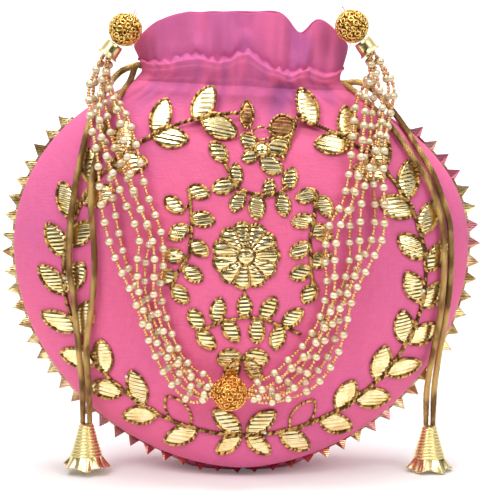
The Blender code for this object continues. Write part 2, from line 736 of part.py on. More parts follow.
def beaded_tube(name, points):
    """A strand of pearls: rings of four points that swell at each pearl and narrow between them."""
    path = smooth_path(points, PEARL_PITCH / 2)
    bead = bead_centre()
    bm = bmesh.new()
    rows = []
    side_axis = Vector((0, -1, 0))
    for k, spot in enumerate(path):
        along = (path[min(k + 1, len(path) - 1)] - path[max(k - 1, 0)]).normalized()
        across = along.cross(side_axis).normalized()
        up = across.cross(along)
        clear_of_caps = min((spot - cap_mouth(s)).length for s in (-1, 1)) > 12 * MM
        clear = clear_of_caps and (spot - bead).length > CENTRE_BEAD_DIAMETER / 2 + 5 * MM
        radius = (PEARL_DIAMETER if k % 2 and clear else SEED_DIAMETER) / 2
        ring = []
        for corner in range(BEAD_SIDES):
            turn = 2 * math.pi * corner / BEAD_SIDES
            ring.append(bm.verts.new(spot + (across * math.cos(turn) + up * math.sin(turn)) * radius))
        rows.append(ring)
    for a, b in zip(rows, rows[1:]):
        for k in range(BEAD_SIDES):
            n = (k + 1) % BEAD_SIDES
            bm.faces.new((a[k], a[n], b[n], b[k]))
    bm.faces.new(rows[0][::-1])
    bm.faces.new(rows[-1])
    bmesh.ops.recalc_face_normals(bm, faces=bm.faces)
    return add_object(name, mesh_from(bm, name), PEARL)


# Each free drawstring strand: x, z and stand-off in millimetres, from beside its slit to its tassel.
CORD_ROUTES = {
    "drawstring_left_outer": (
        (-58.5, 209.5, 3), (-66, 203, 4), (-72, 193.5, 5), (-76.5, 183.5, 4.8), (-79.5, 172, 4.6),
        (-82.6, 157, 4.4), (-85.4, 140, 4.4), (-87, 123, 4.4), (-87, 109, 4.4), (-84.8, 93, 4.4),
        (-83.5, 76, 4.6), (-82.5, 60, 4.8), (-81.9, 44, 4.8), (-81.9, 26.4, 2),
    ),
    "drawstring_left_inner": (
        (-56, 204, 4), (-61.2, 196.5, 3.6), (-66.5, 187, 4.4), (-70, 177, 4.4), (-72.8, 166, 4.4),
        (-75.2, 154, 4.4), (-75.4, 140, 4.4), (-74.2, 125, 4.4), (-73.8, 112, 4.4), (-74.6, 99, 4.4),
        (-76.5, 86, 4.4), (-78.6, 70, 5), (-78.4, 54, 6.5), (-78.3, 40, 7), (-78.3, 26.4, 2),
    ),
    "drawstring_right_inner": (
        (57, 198, 5), (65, 191.5, 4.2), (76.8, 179.6, 4.4), (86.4, 166.4, 4.4), (93.8, 155.6, 4.2),
        (98.7, 144.3, 4.2), (102.2, 133, 4.2), (103.4, 122.6, 4.2), (103.7, 110, 4.2), (103.4, 97, 4.2),
        (102.0, 82, 5.5), (99.6, 66, 6), (96.6, 44, 2), (96.2, 24.0, 2),
    ),
    "drawstring_right_outer": (
        (59, 202, 3), (69.2, 196.8, 3.6), (81.0, 183.2, 4.2), (90.0, 169.4, 4.4), (97.2, 157.4, 4.2),
        (102.1, 145.3, 4.2), (106.0, 133.2, 4.2), (107.2, 122.6, 4.2), (107.5, 109.7, 4.2), (107.0, 96, 4.2),
        (105.2, 80, 4.8), (102.8, 62, 10), (100.4, 44, 2), (99.8, 24.0, 2),
    ),
}  # fmt: skip
CORD_HANG = {"left": 18.0 * MM, "right": 12.0 * MM}
BELLS = {"left": (-80.1, 26.0), "right": (98.0, 23.6)}
CHANNEL_CORD_STEP = 2.1 * MM
FREE_BELOW = 60 * MM


def channel_level(height):
    """The wall level of a held drawstring, height above the middle of the channel."""
    return 1.25 + height / CHANNEL_HEIGHT / 2


def slit_exit(side, height, run):
    """Where a drawstring leaves the slit at one side, on its front or its back run."""
    spot = wall_point(0.0 if side > 0 else math.pi, channel_level(height), run)
    spot.y = SEAM_Y + run * (CORD_DIAMETER + CLEARANCE) / 2
    return spot


def free_cord(side, height, run, route):
    """Points of a free strand, out of its slit and then down over the front of the bag."""
    hang = CORD_HANG["left" if side < 0 else "right"]
    start = slit_exit(side, height, run)
    points = [start + Vector((side * CORD_DIAMETER, 0, 0))]
    for number, (x, drawn_z, off) in enumerate(route):
        z = drawn_height(drawn_z * MM)
        y = front_y(x * MM, z) - off * MM
        y = min(y, -hang) if drawn_z * MM < FREE_BELOW else y
        from_slit = start.y - SEAM_Y
        y = from_slit + (y - from_slit) * min(1.0, number / (1 if run == FRONT else 2))
        points.append(Vector((x * MM, SEAM_Y + y, z)))
    return [start + Vector((side * CLEARANCE / 2, 0, 0)), *smooth_path(points, CORD_POINT_STEP)]


def channel_loop(name, side, height):
    """The held part of a drawstring: in at one side's slit, round the channel and out again."""
    inset = (CLOTH_THICKNESS + CLEARANCE + CORD_DIAMETER / 2) / 0.88
    start = 0.0 if side > 0 else math.pi
    turns = [start + (math.pi - 2 * start) * k / 22 for k in range(23)]
    points = [wall_point(turn, channel_level(height), FRONT, inset) for turn in turns]
    points += [wall_point(turn, channel_level(height), BACK, inset) for turn in turns[::-1]]
    inwards = Vector((-side, 0, 0))
    ends = []
    for run in (FRONT, BACK):
        outlet = slit_exit(side, height, run) + inwards * CLEARANCE / 2
        ends.append([outlet, outlet + inwards * CORD_DIAMETER * 1.4])
    points = smooth_path([ends[0][1], *points[2:-2], ends[1][1]], CORD_POINT_STEP)
    points = [ends[0][0], *points, ends[1][0]]
    return tube(name, points, CORD_DIAMETER, CORD_BRAID)


def tie_anchor(side):
    """The outside of the side seam's top corner, where the handle's thread is sewn on."""
    corner = wall_point(0.0 if side > 0 else math.pi, 2.0, FRONT)
    return Vector((corner.x + side * (CLEARANCE + TIE_DIAMETER / 2), SEAM_Y, corner.z - 2 * TIE_DIAMETER))


def tie(name, side):
    """The clear thread that hangs the handle on the top of the side seam."""
    axis = cap_axis(side)
    ball = ball_centre(side)
    anchor = tie_anchor(side)
    points = [ball + axis * (BALL_DIAMETER / 2 - 2.5 * MM), ball + axis * (BALL_DIAMETER / 2 + 1.5 * MM)]
    points.append(points[-1] + Vector((side * 0.6 * MM, 4.1 * MM, 2 * MM)))
    points.append(anchor + Vector((-side * 0.3 * MM, -5 * MM, 15.5 * MM)))
    points.append(anchor + Vector((side * 1.4 * MM, -2 * MM, 8.5 * MM)))
    points.append(anchor)
    return tube(name, smooth_path(points, 2.2 * MM), TIE_DIAMETER, NYLON)


PANEL_LEVELS = (0.04, 0.08, 0.12, 0.16, 0.2, 0.25, 0.31, 0.39, 0.48, 0.57, 0.66, 0.75, 0.83, 0.9, 0.96,
                1.03, 1.5, 1.57, 1.7, 1.85, 2.0)
panel("front_panel", FRONT, 24, PANEL_LEVELS)
panel("back_panel", BACK, 18, PANEL_LEVELS)
lining()
edging()

WREATH_LEAF = (18.5 * MM, 10.5 * MM)
petals_left = [lambda bm: leaf(bm, (-0.6 * MM, 25 * MM), math.radians(137), 18 * MM, 9.5 * MM),
               lambda bm: leaf(bm, (-0.6 * MM, 24 * MM), math.radians(220), 15 * MM, 8 * MM)]
petals_right = [lambda bm: leaf(bm, (3.4 * MM, 25 * MM), math.radians(40), 18 * MM, 9.5 * MM),
                lambda bm: leaf(bm, (3.4 * MM, 24 * MM), math.radians(-42), 15 * MM, 8 * MM)]
half_wreath("wreath_left", -1, 0.02, (16, 13.5, 12, 42, *WREATH_LEAF), (13.5, 16.5, 10, -38, *WREATH_LEAF),
            petals_left)
half_wreath("wreath_right", 1, 0.32, (22.4, 13.3, 12, 42, *WREATH_LEAF), (35.5, 16.2, 9, -38, *WREATH_LEAF),
            petals_right)

appliqué("flower_centre", lambda bm: scalloped_disc(bm, (2.5 * MM, 118 * MM), FLOWER_RADIUS, FLOWER_PETALS,
                                                    1.2 * MM), [])
appliqué("flower_top", lambda bm: scalloped_disc(bm, (10.5 * MM, 170.5 * MM), SMALL_FLOWER_RADIUS, 5, 1.2 * MM), [])
spray("spray_left", ((-25.5, 147), (-24.5, 133), (-25.5, 123), (-26.5, 117), (-31.5, 109.5), (-35, 101)), (
    (-21, 149.5, 11, 7, -15), (-33.5, 143, 11, 7, -40), (-19, 136, 12, 7.5, -10), (-31, 129.5, 11, 7.5, 35),
    (-21, 121.5, 11, 7.5, -35), (-33.5, 117.5, 10, 7, 0), (-24, 108.5, 11, 7.5, -35), (-36.5, 107, 9, 7.5, 0),
    (-30.5, 98, 11, 7.5, -50)))
spray("spray_right", ((37, 149), (36.5, 135), (34.5, 126), (35, 120), (35, 114), (35.5, 107), (37, 101)), (
    (33, 147.5, 11, 7, 15), (42, 142, 12, 7.5, -60), (31, 135, 11, 7, 10), (40.5, 129, 12, 7.5, -35),
    (29.5, 120.5, 11, 7.5, 35), (40, 115.5, 11, 7.5, 30), (30, 109, 11, 7.5, 20), (34.5, 98.5, 11, 7.5, 60)))
spray("spray_lower", ((-20, 79.5), (-14.5, 82), (-10, 84), (-3, 85.5), (2, 86.5), (11, 85.5), (17.5, 83),
                      (23.5, 80.5), (29.5, 77.5)), (
    (-22.5, 85, 12, 7.5, -65), (-17.5, 74.5, 12, 7.5, -45), (-11.5, 90, 13, 7.5, 80), (-5, 79.5, 13, 7.5, -60),
    (1.8, 92, 12, 7, 90), (8, 79.5, 13, 7.5, 90), (14, 91, 13, 7.5, 60), (18.5, 76, 13, 7.5, 75),
    (26, 86, 13, 7.5, 40)))
spray("bow_lower", ((-4, 64.8), (6, 64.8)), (
    (-5.6, 65, 12.5, 10, 0), (7.6, 65, 12.5, 10, 0), (-4.5, 58.5, 13, 7, 60), (6.5, 58.5, 13, 7, -60)))
spray("spray_top", ((-9, 165), (-5, 158), (-1.5, 152), (5, 149), (12.5, 147.5), (18.5, 149), (23, 152)), (
    (-11, 169, 12, 7.5, -50), (-8, 152.5, 13, 7.5, 15), (-2.5, 158, 11, 6.5, 95), (-1.5, 145, 11, 7, 60),
    (8, 142.5, 13, 8, 90), (14, 151.5, 9, 6, 80), (24.5, 156, 11, 7, 75), (21, 143.5, 12, 7, 100)))

for side, word in ((-1, "left"), (1, "right")):
    height = -side * CHANNEL_CORD_STEP
    channel_loop(f"drawstring_{word}_channel", side, height)
    for run, run_word in ((FRONT, "inner"), (BACK, "outer")):
        name = f"drawstring_{word}_{run_word}"
        points = free_cord(side, height, run, CORD_ROUTES[name])
        tube(name, points, CORD_DIAMETER, CORD_BRAID)
    bell_x, bell_top = BELLS[word]
    bell(f"bell_{word}", (bell_x * MM, SEAM_Y - CORD_HANG[word], bell_top * MM), (0, 0, 1))
    hollow_ball(f"end_ball_{word}", BALL_DIAMETER, BALL_BORE, BALL_WALL, GOLD_METAL, ball_centre(side),
                cap_axis(side))
    end_cap(f"end_cap_{word}", cap_mouth(side), cap_axis(side))
    tie(f"tie_{word}", side)
hollow_ball("centre_bead", CENTRE_BEAD_DIAMETER, CENTRE_BEAD_BORE, BALL_WALL, GOLD_METAL, bead_centre(), (1, 0, 0))
for number in range(STRANDS):
    halves = [strand_half(side, number) for side in (-1, 1)]
    beaded_tube(f"pearl_strand_{number + 1}", halves[0] + halves[1][-2::-1])
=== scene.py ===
import math
import random

import bmesh
import bpy
from mathutils import Matrix, Vector, noise


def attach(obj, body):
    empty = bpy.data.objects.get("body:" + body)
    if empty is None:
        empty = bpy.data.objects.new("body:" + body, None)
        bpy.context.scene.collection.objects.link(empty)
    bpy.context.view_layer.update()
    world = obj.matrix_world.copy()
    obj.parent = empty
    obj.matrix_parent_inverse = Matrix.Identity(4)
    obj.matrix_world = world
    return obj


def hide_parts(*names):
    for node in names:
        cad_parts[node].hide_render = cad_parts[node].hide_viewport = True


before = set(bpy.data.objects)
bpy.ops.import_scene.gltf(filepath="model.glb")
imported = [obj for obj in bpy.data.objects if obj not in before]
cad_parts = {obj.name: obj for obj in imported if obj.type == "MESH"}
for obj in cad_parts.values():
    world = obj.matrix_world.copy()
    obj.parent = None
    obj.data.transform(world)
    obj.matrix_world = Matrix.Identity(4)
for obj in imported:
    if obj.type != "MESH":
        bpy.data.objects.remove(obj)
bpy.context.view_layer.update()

MM = 0.001
FRONT, BACK = -1, 1
DOWN = -math.pi / 2

# The bag's cloth, as its frame has it
BODY_HALF_WIDTH = 118 * MM
BELLY_HEIGHT = 118 * MM
SEAM_LIFT = 4 * MM
SHOULDER_RISE = 91 * MM
FRONT_BULGE = 44 * MM
BACK_BULGE = 40 * MM
SEAM_FORWARD = 16 * MM
SAG_ANGLE = math.radians(42)
ROUND_POWER = 1.24
LOWER_POWER = 0.75
CLOTH_THICKNESS = 0.8 * MM
LINING_THICKNESS = 0.7 * MM
NECK_HALF_WIDTH = 49 * MM
CHANNEL_HEIGHT = 9.5 * MM
NECK_TILT = 0.05
FRILL_FLARE = 6 * MM
FRILL_HEIGHT = 27.5 * MM
MOUTH_DEPTH = 13 * MM
PLEAT_DEPTH = 4 * MM
PLEAT_VALLEYS = (-0.86, -0.63, -0.37, 0.02, 0.53, 0.82)
PLEAT_WIDTH = 0.09
BACK_PLEAT_RATE = 13
CLEARANCE = 0.35 * MM
SEAM_Y = 8.54 * MM

# Gold edging
TOOTH_LENGTH = 6.6 * MM
TOOTH_PITCH = 9.3 * MM
EDGING_TOP = math.radians(43)
TOOTH_FOLD = math.radians(61)

# Drawstrings and tassels
CORD_DIAMETER = 3.2 * MM
CORD_POINT_STEP = 9 * MM
CORD_HANG = {"left": 18.0 * MM, "right": 12.0 * MM}
BELL_TOPS = {"left": (-80.1, 26.0), "right": (98.0, 23.6)}
CHANNEL_CORD_STEP = 2.1 * MM
BELL_HEIGHT = 23 * MM
BELL_RIM_RADIUS = 12 * MM

# Handle
PEARL_DIAMETER = 4.2 * MM
SEED_DIAMETER = 2.0 * MM
PEARL_PITCH = 9.1 * MM
BALL_DIAMETER = 17 * MM
CAP_LENGTH = 7.5 * MM
CAP_WALL = 0.7 * MM
CENTRE_BEAD_DIAMETER = 18 * MM
BEAD_PLACE = (-5.6 * MM, 48.5 * MM)
BEAD_OUT = 2.1 * MM + CENTRE_BEAD_DIAMETER / 2
LAYER = 2.45 * MM
HANDLE_HANG = 16 * MM
THREAD_RING = 1.95 * MM
STRANDS = 6

# Appliqué
WREATH_CENTRE = (2 * MM, 106 * MM)
WREATH_HALF_WIDTH = 92 * MM
WREATH_HALF_HEIGHT = 82 * MM
RIB_PITCH = 2.0 * MM
RIB_DEPTH = 0.19 * MM
FOIL_LIFT = 0.55 * MM
ROPE_LIFT = 0.75 * MM
WREATH_STEM = 2.3 * MM
SPRAY_STEM = 1.9 * MM
TWIG = 1.4 * MM
OUTLINE = 1.45 * MM
FINE_OUTLINE = 1.3 * MM
LEAF_LENGTH = 18.5 * MM
LEAF_WIDTH = 10.5 * MM

# Studio
SWEEP_GLOW = 0.1
FAR_GLOW = 0.75


def smooth(value):
    """Rises smoothly from 0 to 1 as value goes from 0 to 1."""
    value = min(1.0, max(0.0, value))
    return value * value * (3 - 2 * value)


def bell_curve(value, width):
    return math.exp(-((value / width) ** 2))


def neck_angle(inset):
    return math.acos((NECK_HALF_WIDTH - inset) / (BODY_HALF_WIDTH - inset))


NECK_ANGLE = neck_angle(0)


def seam_at(angle, inset=0.0):
    """Half width, forward slide and height of the side seam at an angle from the belly line."""
    rise = SHOULDER_RISE if angle > 0 else BELLY_HEIGHT - SEAM_LIFT
    half_width = (BODY_HALF_WIDTH - inset) * math.cos(angle)
    height = BELLY_HEIGHT + (rise - inset) * math.sin(angle)
    slide = -SEAM_FORWARD * smooth((-angle - math.radians(35)) / math.radians(55))
    return half_width, slide, height


def roundness(angle):
    level = max(0.0, math.cos(angle))
    return level if angle > 0 else level**LOWER_POWER


def frill_top(x):
    """Height of the frill's upper edge above the channel, with the dip between its two lobes."""
    across = x / (NECK_HALF_WIDTH + FRILL_FLARE)
    return FRILL_HEIGHT * (1 - 0.36 * bell_curve(across - 0.56, 0.11) - 0.62 * abs(across) ** 5)


def pleats(theta, side):
    """Pleat depth around the neck, 0 on a fold's crest and 1 in its valley."""
    across = math.cos(theta)
    if side == BACK:
        return 0.5 - 0.5 * math.cos(across * BACK_PLEAT_RATE)
    return max(bell_curve(across - valley, PLEAT_WIDTH) for valley in PLEAT_VALLEYS)


def seam_gap(level):
    closed = 0.95 * MM - 0.45 * MM * smooth((level - 0.78) / 0.12)
    closed += 0.5 * MM * (1 - smooth((level - 0.1) / 0.2))
    slit = 3.87 * MM
    return closed + (slit - closed) * smooth((level - 0.96) / 0.06) * smooth((1.56 - level) / 0.06)


def tilt_at(level):
    return NECK_TILT * smooth((level - 0.6) / 0.4)


def wall_point(theta, level, side, inset=0.0):
    """A point of the plain wall: level 0 to 1 is the body, 1 to 1.5 the channel, 1.5 to 2 the frill."""
    shape = max(0.0, math.sin(theta)) ** ROUND_POWER
    gap = seam_gap(level)
    bulge = FRONT_BULGE if side == FRONT else BACK_BULGE
    neck_depth = bulge * roundness(NECK_ANGLE) - inset
    top = neck_angle(inset)
    if level <= 1:
        angle = DOWN + level * (top - DOWN)
        half_width, slide, z = seam_at(angle, inset)
        x = half_width * math.cos(theta)
        reach = (bulge - inset) * roundness(angle)
        reach += (neck_depth - reach) * smooth((level - 0.8) / 0.2)
        if side == BACK:
            reach -= slide
            sag = SAG_ANGLE * smooth((-angle - math.radians(15)) / math.radians(75))
            y = slide + gap + reach * shape * math.cos(sag)
            z = max(inset, z - reach * shape * math.sin(sag))
        else:
            y = slide - gap - reach * shape
        return Vector((x, SEAM_Y + y, z - tilt_at(level) * x))
    rise = level - 1
    channel = min(1.0, rise / 0.5)
    frill = max(0.0, rise - 0.5) / 0.5
    x = (NECK_HALF_WIDTH - inset + FRILL_FLARE * smooth(rise)) * math.cos(theta)
    shoulder, outer_shoulder = seam_at(top, inset)[2], seam_at(NECK_ANGLE)[2]
    z = shoulder + (outer_shoulder - shoulder) * smooth(rise / 0.1)
    z += CHANNEL_HEIGHT * channel + frill_top(x) * frill
    z -= NECK_TILT * x * (1 - frill)
    depth = neck_depth + (MOUTH_DEPTH - inset - neck_depth) * frill
    fold = PLEAT_DEPTH * pleats(theta, side) * smooth((rise - 0.42) / 0.4) * math.sin(theta)
    return Vector((x, SEAM_Y + side * (gap + depth * shape - fold), z))


# Folds of the filled body below the neck: x where they start, x where they end, depth, width, length.
BODY_FOLDS = (
    (21, 13, 3.2, 4.4, 38), (28, 24, 1.8, 3.0, 24), (-30, -38, 1.9, 4.0, 22), (-14, -17, 1.7, 3.2, 19),
    (3, 0, 1.7, 3.0, 17), (41, 52, 2.0, 3.6, 24), (34, 39, 1.4, 2.4, 16), (-42, -56, 1.9, 3.4, 22),
    (-22, -27, 1.3, 2.2, 13), (-6, -8, 1.2, 2.0, 12), (11, 5, 1.2, 2.0, 13), (-36, -47, 1.1, 2.2, 14),
)  # fmt: skip
FOLD_TOP = 204 * MM


def eased_step(level, edge):
    """How far the cloth stands out below the channel, so that it leads into the slit's step gently."""
    if level >= 1.02:
        return 0.0
    lead = smooth((level - 0.74) / 0.28) - smooth((level - 0.96) / 0.06)
    return 3.4 * MM * lead * smooth(edge / 0.35)


def skin(x, z):
    """How far the front cloth stands out of its plain wall: soft unevenness, less the folds."""
    below = (FOLD_TOP - z) / MM
    sink = 0.0
    for start, end, depth, width, length in BODY_FOLDS:
        share = min(1.0, max(0.0, below / length))
        middle = start + (end - start) * share
        fade = (1 - smooth(share)) * smooth((below + 8) / 10)
        sink += depth * MM * fade * bell_curve(x / MM - middle, width * (1 + 0.8 * share))
    spot = Vector((x, 0, z))
    soft = noise.noise(spot * 26) * 0.5 * MM + noise.noise(spot * 70) * 0.14 * MM
    return soft * smooth((214 * MM - z) / (30 * MM)) - sink


def front_station(x, z):
    """The level and the seam angle of the front wall at a place seen from ahead."""
    level_z = z
    for _ in range(4):
        rise = SHOULDER_RISE if level_z > BELLY_HEIGHT else BELLY_HEIGHT - SEAM_LIFT
        angle = math.asin(max(-0.9999, min(0.9, (level_z - BELLY_HEIGHT) / rise)))
        level = (angle - DOWN) / (NECK_ANGLE - DOWN)
        level_z = z + tilt_at(level) * x
    return level, angle


def front_y(x, z):
    """How far the front cloth lies from the seam plane at a place seen from ahead, folds left out."""
    level, angle = front_station(x, z)
    half_width, slide, _ = seam_at(angle)
    across = min(1.0, abs(x) / half_width)
    return slide - seam_gap(level) - FRONT_BULGE * roundness(angle) * (1 - across**2) ** (ROUND_POWER / 2)


def on_cloth(x, z, lift):
    """The point that stands off the front cloth by lift, above x, z, and the way the cloth faces."""
    step = 2 * MM
    slope_x = (front_y(x + step, z) - front_y(x - step, z)) / (2 * step)
    slope_z = (front_y(x, z + step) - front_y(x, z - step)) / (2 * step)
    normal = Vector((slope_x, -1, slope_z)).normalized()
    level, angle = front_station(x, z)
    across = min(1.0, abs(x) / seam_at(angle)[0])
    out = skin(x, z) + eased_step(level, math.sqrt(1 - across**2))
    return Vector((x, SEAM_Y + front_y(x, z) - out, z)) + normal * lift, normal


def smooth_path(points, step):
    """Points about step apart along a smooth curve through the given ones."""
    points = [Vector(p) for p in points]
    ends = [2 * points[0] - points[1], *points, 2 * points[-1] - points[-2]]
    fine = []
    for a, b, c, d in zip(ends, ends[1:], ends[2:], ends[3:]):
        for k in range(12):
            t = k / 12
            bend = (2 * a - 5 * b + 4 * c - d) * t * t + (3 * b - a - 3 * c + d) * t**3
            fine.append(0.5 * (2 * b + (c - a) * t + bend))
    fine.append(points[-1])
    lengths = [0.0]
    for a, b in zip(fine, fine[1:]):
        lengths.append(lengths[-1] + (b - a).length)
    count = max(2, round(lengths[-1] / step))
    spaced, at = [], 0
    for k in range(count + 1):
        goal = lengths[-1] * k / count
        while at < len(fine) - 2 and lengths[at + 1] < goal:
            at += 1
        part = (goal - lengths[at]) / max(1e-9, lengths[at + 1] - lengths[at])
        spaced.append(fine[at].lerp(fine[at + 1], min(1.0, part)))
    return spaced


# Finishes


def add_node(tree, kind, inputs=(), **settings):
    """A new node with its settings, each input a value or a socket to link it to."""
    made = tree.nodes.new(kind)
    for key, value in settings.items():
        setattr(made, key, value)
    for key, value in dict(inputs).items():
        if isinstance(value, bpy.types.NodeSocket):
            tree.links.new(value, made.inputs[key])
        else:
            made.inputs[key].default_value = value
    return made


class Finish:
    """A Principled material, with short names for the nodes that it is made of."""

    def __init__(self, name, colour, roughness, metallic=0.0, **sockets):
        self.material = bpy.data.materials.new(name)
        self.material.use_nodes = True
        self.tree = self.material.node_tree
        self.shader = self.tree.nodes["Principled BSDF"]
        self.set("Base Color", (*colour, 1))
        self.set("Roughness", roughness)
        self.set("Metallic", metallic)
        for socket, value in sockets.items():
            self.set(socket.replace("_", " "), value)
        self.material.diffuse_color = (*colour, 1)

    def set(self, socket, value):
        self.shader.inputs[socket].default_value = value

    def node(self, kind, inputs=(), **settings):
        return add_node(self.tree, kind, inputs, **settings)

    def place(self, stretch=(1, 1, 1), turn=(0, 0, 0), source="Object"):
        """Object coordinates, or the piece's own UV map, stretched and turned."""
        coordinates = self.node("ShaderNodeTexCoord").outputs[source]
        mapping = self.node("ShaderNodeMapping", {"Vector": coordinates, "Scale": stretch, "Rotation": turn})
        return mapping.outputs["Vector"]

    def grain(self, scale, where, detail=2.0):
        made = self.node("ShaderNodeTexNoise", {"Vector": where, "Scale": scale, "Detail": detail})
        return made.outputs["Fac"]

    def lines(self, scale, where, direction="Z", distortion=0.0):
        inputs = {"Vector": where, "Scale": scale, "Distortion": distortion}
        return self.node("ShaderNodeTexWave", inputs, bands_direction=direction).outputs["Fac"]

    def attribute(self, name):
        return self.node("ShaderNodeAttribute", attribute_name=name).outputs["Fac"]

    def between(self, value, low, high, start=0.0, end=1.0):
        inputs = {"Value": value, "From Min": low, "From Max": high, "To Min": start, "To Max": end}
        return self.node("ShaderNodeMapRange", inputs).outputs["Result"]

    def combined(self, a, b, operation="ADD"):
        made = self.node("ShaderNodeMath", {0: a, 1: b}, operation=operation)
        return made.outputs["Value"]

    def mix(self, factor, a, b):
        """A colour between a and b, each a colour or a socket."""
        colours = [(*c, 1) if isinstance(c, tuple) and len(c) == 3 else c for c in (a, b)]
        made = self.node("ShaderNodeMix", {0: factor, 6: colours[0], 7: colours[1]}, data_type="RGBA")
        return made.outputs[2]

    def colour(self, socket):
        self.tree.links.new(socket, self.shader.inputs["Base Color"])

    def rough(self, socket):
        self.tree.links.new(socket, self.shader.inputs["Roughness"])

    def bump(self, height, distance, strength):
        inputs = {"Height": height, "Distance": distance, "Strength": strength}
        made = self.node("ShaderNodeBump", inputs)
        self.tree.links.new(made.outputs["Normal"], self.shader.inputs["Normal"])


def pink_silk():
    """Soft pink silk blend: fine weave, long slubs, and painted mauve shade down in its folds."""
    made = Finish("pink_silk", (0.86, 0.12, 0.33), 0.7, Sheen_Weight=0.22, Sheen_Roughness=0.45)
    made.set("Sheen Tint", (1.0, 0.5, 0.72, 1))
    made.set("Specular IOR Level", 0.2)
    where = made.place(source="UV")
    blush = made.grain(9, made.place())
    slub = made.grain(1.0, made.place((160, 1500, 1), source="UV"), 1.0)
    weft = made.grain(1.0, made.place((1500, 130, 1), source="UV"), 1.0)
    tone = made.mix(made.between(blush, 0.38, 0.62), (0.92, 0.17, 0.335), (0.83, 0.165, 0.37))
    slubs = made.between(made.combined(slub, weft), 0.75, 1.3)
    tone = made.mix(made.between(slubs, 0, 1, 0, 0.3), tone, (0.66, 0.10, 0.28))
    # The fold attribute mixes in painted mauve shade, deepest in the folds, gathers and grooves.
    made.colour(made.mix(made.between(made.attribute("fold"), 0, 1, 0, 0.85), tone, (0.44, 0.11, 0.33)))
    warp = made.lines(700, where, "X")
    weave = made.combined(warp, made.lines(700, where, "Y"), "MULTIPLY")
    mottle = made.between(made.grain(230, made.place(), 4.0), 0.3, 0.7, 0, 5.0)
    made.bump(made.combined(made.combined(weave, made.between(slubs, 0, 1, 0, 2.0)), mottle), 0.00006, 0.6)
    return made.material


def lining_cotton():
    made = Finish("lining_cotton", (0.83, 0.36, 0.52), 0.85, Sheen_Weight=0.2)
    where = made.place()
    made.colour(made.mix(made.grain(60, where), (0.80, 0.30, 0.48), (0.86, 0.42, 0.57)))
    weave = made.combined(made.lines(420, where, "X"), made.lines(420, where, "Z"), "MULTIPLY")
    made.bump(weave, 0.0001, 0.4)
    return made.material


def ribbon_foil(name, pale, deep, roughness):
    """Metallised ribbon: mirror gold with fine rows of needle marks and slight creases."""
    made = Finish(name, pale, roughness, 1.0)
    where = made.place()
    crease = made.grain(170, where, 3.0)
    made.colour(made.mix(made.between(crease, 0.42, 0.62), pale, deep))
    made.rough(made.between(made.grain(500, where), 0.3, 0.7, roughness * 0.7, roughness * 1.5))
    rows = made.lines(480, where, "Z")
    marks = made.combined(rows, made.grain(900, where), "MULTIPLY")
    made.bump(made.combined(marks, made.between(crease, 0, 1, 0, 1.6)), 0.0001, 0.3)
    return made.material


def twisted_thread(name, dark, bright, roughness):
    """Couched metal thread: each twist has a tone of its own, from bronze to bright gold, partly random tone
    and partly painted glints and painted shade.
    """
    made = Finish(name, bright, roughness, 1.0)
    tone = made.between(made.attribute("tone"), 0.25, 0.75)
    glint_fleck = made.between(made.grain(700, made.place()), 0.35, 0.55, 0.35, 1.0)
    # The twist tones and the fine flecks stand partly for painted glints and painted shade on the thread.
    made.colour(made.mix(made.combined(tone, glint_fleck, "MULTIPLY"), dark, bright))
    made.bump(made.grain(2600, made.place()), 0.0001, 0.6)
    return made.material


def drawstring_braid():
    """Brown gold satin braid: crossing strands, brighter where they pass over, with painted shade, near
    black, in the gaps between them.
    """
    made = Finish("drawstring_braid", (0.52, 0.33, 0.12), 0.34, 0.6)
    left = made.lines(0.35, made.place((1.0, 1.0, 1), (0, 0, math.radians(38)), "UV"), "X", 0.8)
    right = made.lines(0.35, made.place((1.0, 1.0, 1), (0, 0, math.radians(-38)), "UV"), "X", 0.8)
    over = made.combined(left, right, "MAXIMUM")
    tone_shift = made.between(made.grain(140, made.place((1, 1, 0.45)), 4.0), 0.42, 0.6)
    base = made.mix(tone_shift, (0.24, 0.12, 0.03), (0.88, 0.58, 0.19))
    # Painted shade: near black between the crossing strands, full colour where they pass over.
    made.colour(made.mix(made.between(over, 0.25, 0.85), (0.09, 0.04, 0.01), base))
    made.bump(over, 0.0003, 0.8)
    return made.material


def pearl_lustre():
    made = Finish("pearl_lustre", (0.88, 0.77, 0.53), 0.2, 0.35, Coat_Weight=1.0, Coat_Roughness=0.05)
    made.set("Subsurface Weight", 0.1)
    made.set("Subsurface Radius", (0.002, 0.0015, 0.001))
    cream = made.mix(made.attribute("tone"), (0.93, 0.83, 0.58), (0.80, 0.64, 0.38))
    # Brown towards the drill holes: grime there, and painted shade where each pearl meets its seed beads.
    tone_shift = made.between(made.attribute("drill_end"), 0.55, 1, 0, 0.9)
    made.colour(made.mix(tone_shift, cream, (0.40, 0.24, 0.11)))
    made.bump(made.grain(1500, made.place()), 0.00005, 0.15)
    return made.material


def seed_gold():
    made = Finish("seed_gold", (0.92, 0.62, 0.28), 0.2, 0.9, Coat_Weight=0.4)
    made.colour(made.mix(made.attribute("tone"), (0.98, 0.70, 0.33), (0.74, 0.32, 0.13)))
    made.bump(made.grain(2500, made.place()), 0.00006, 0.3)
    return made.material


def worked_gold(name, bright, deep, roughness):
    """Cast and plated wirework: bright gold with random patches that are darker and duller."""
    made = Finish(name, bright, roughness, 1.0)
    patch = made.grain(420, made.place(), 3.0)
    made.colour(made.mix(made.between(patch, 0.4, 0.66), bright, deep))
    made.rough(made.between(patch, 0.3, 0.7, roughness * 0.7, roughness * 2))
    made.bump(made.grain(1300, made.place(), 3.0), 0.0002, 0.5)
    return made.material


def polished_gold():
    made = Finish("polished_gold", (0.86, 0.72, 0.33), 0.24, 1.0)
    where = made.place()
    made.rough(made.between(made.grain(220, where, 3.0), 0.3, 0.7, 0.18, 0.36))
    made.bump(made.grain(700, made.place((1, 1, 4))), 0.00006, 0.3)
    return made.material


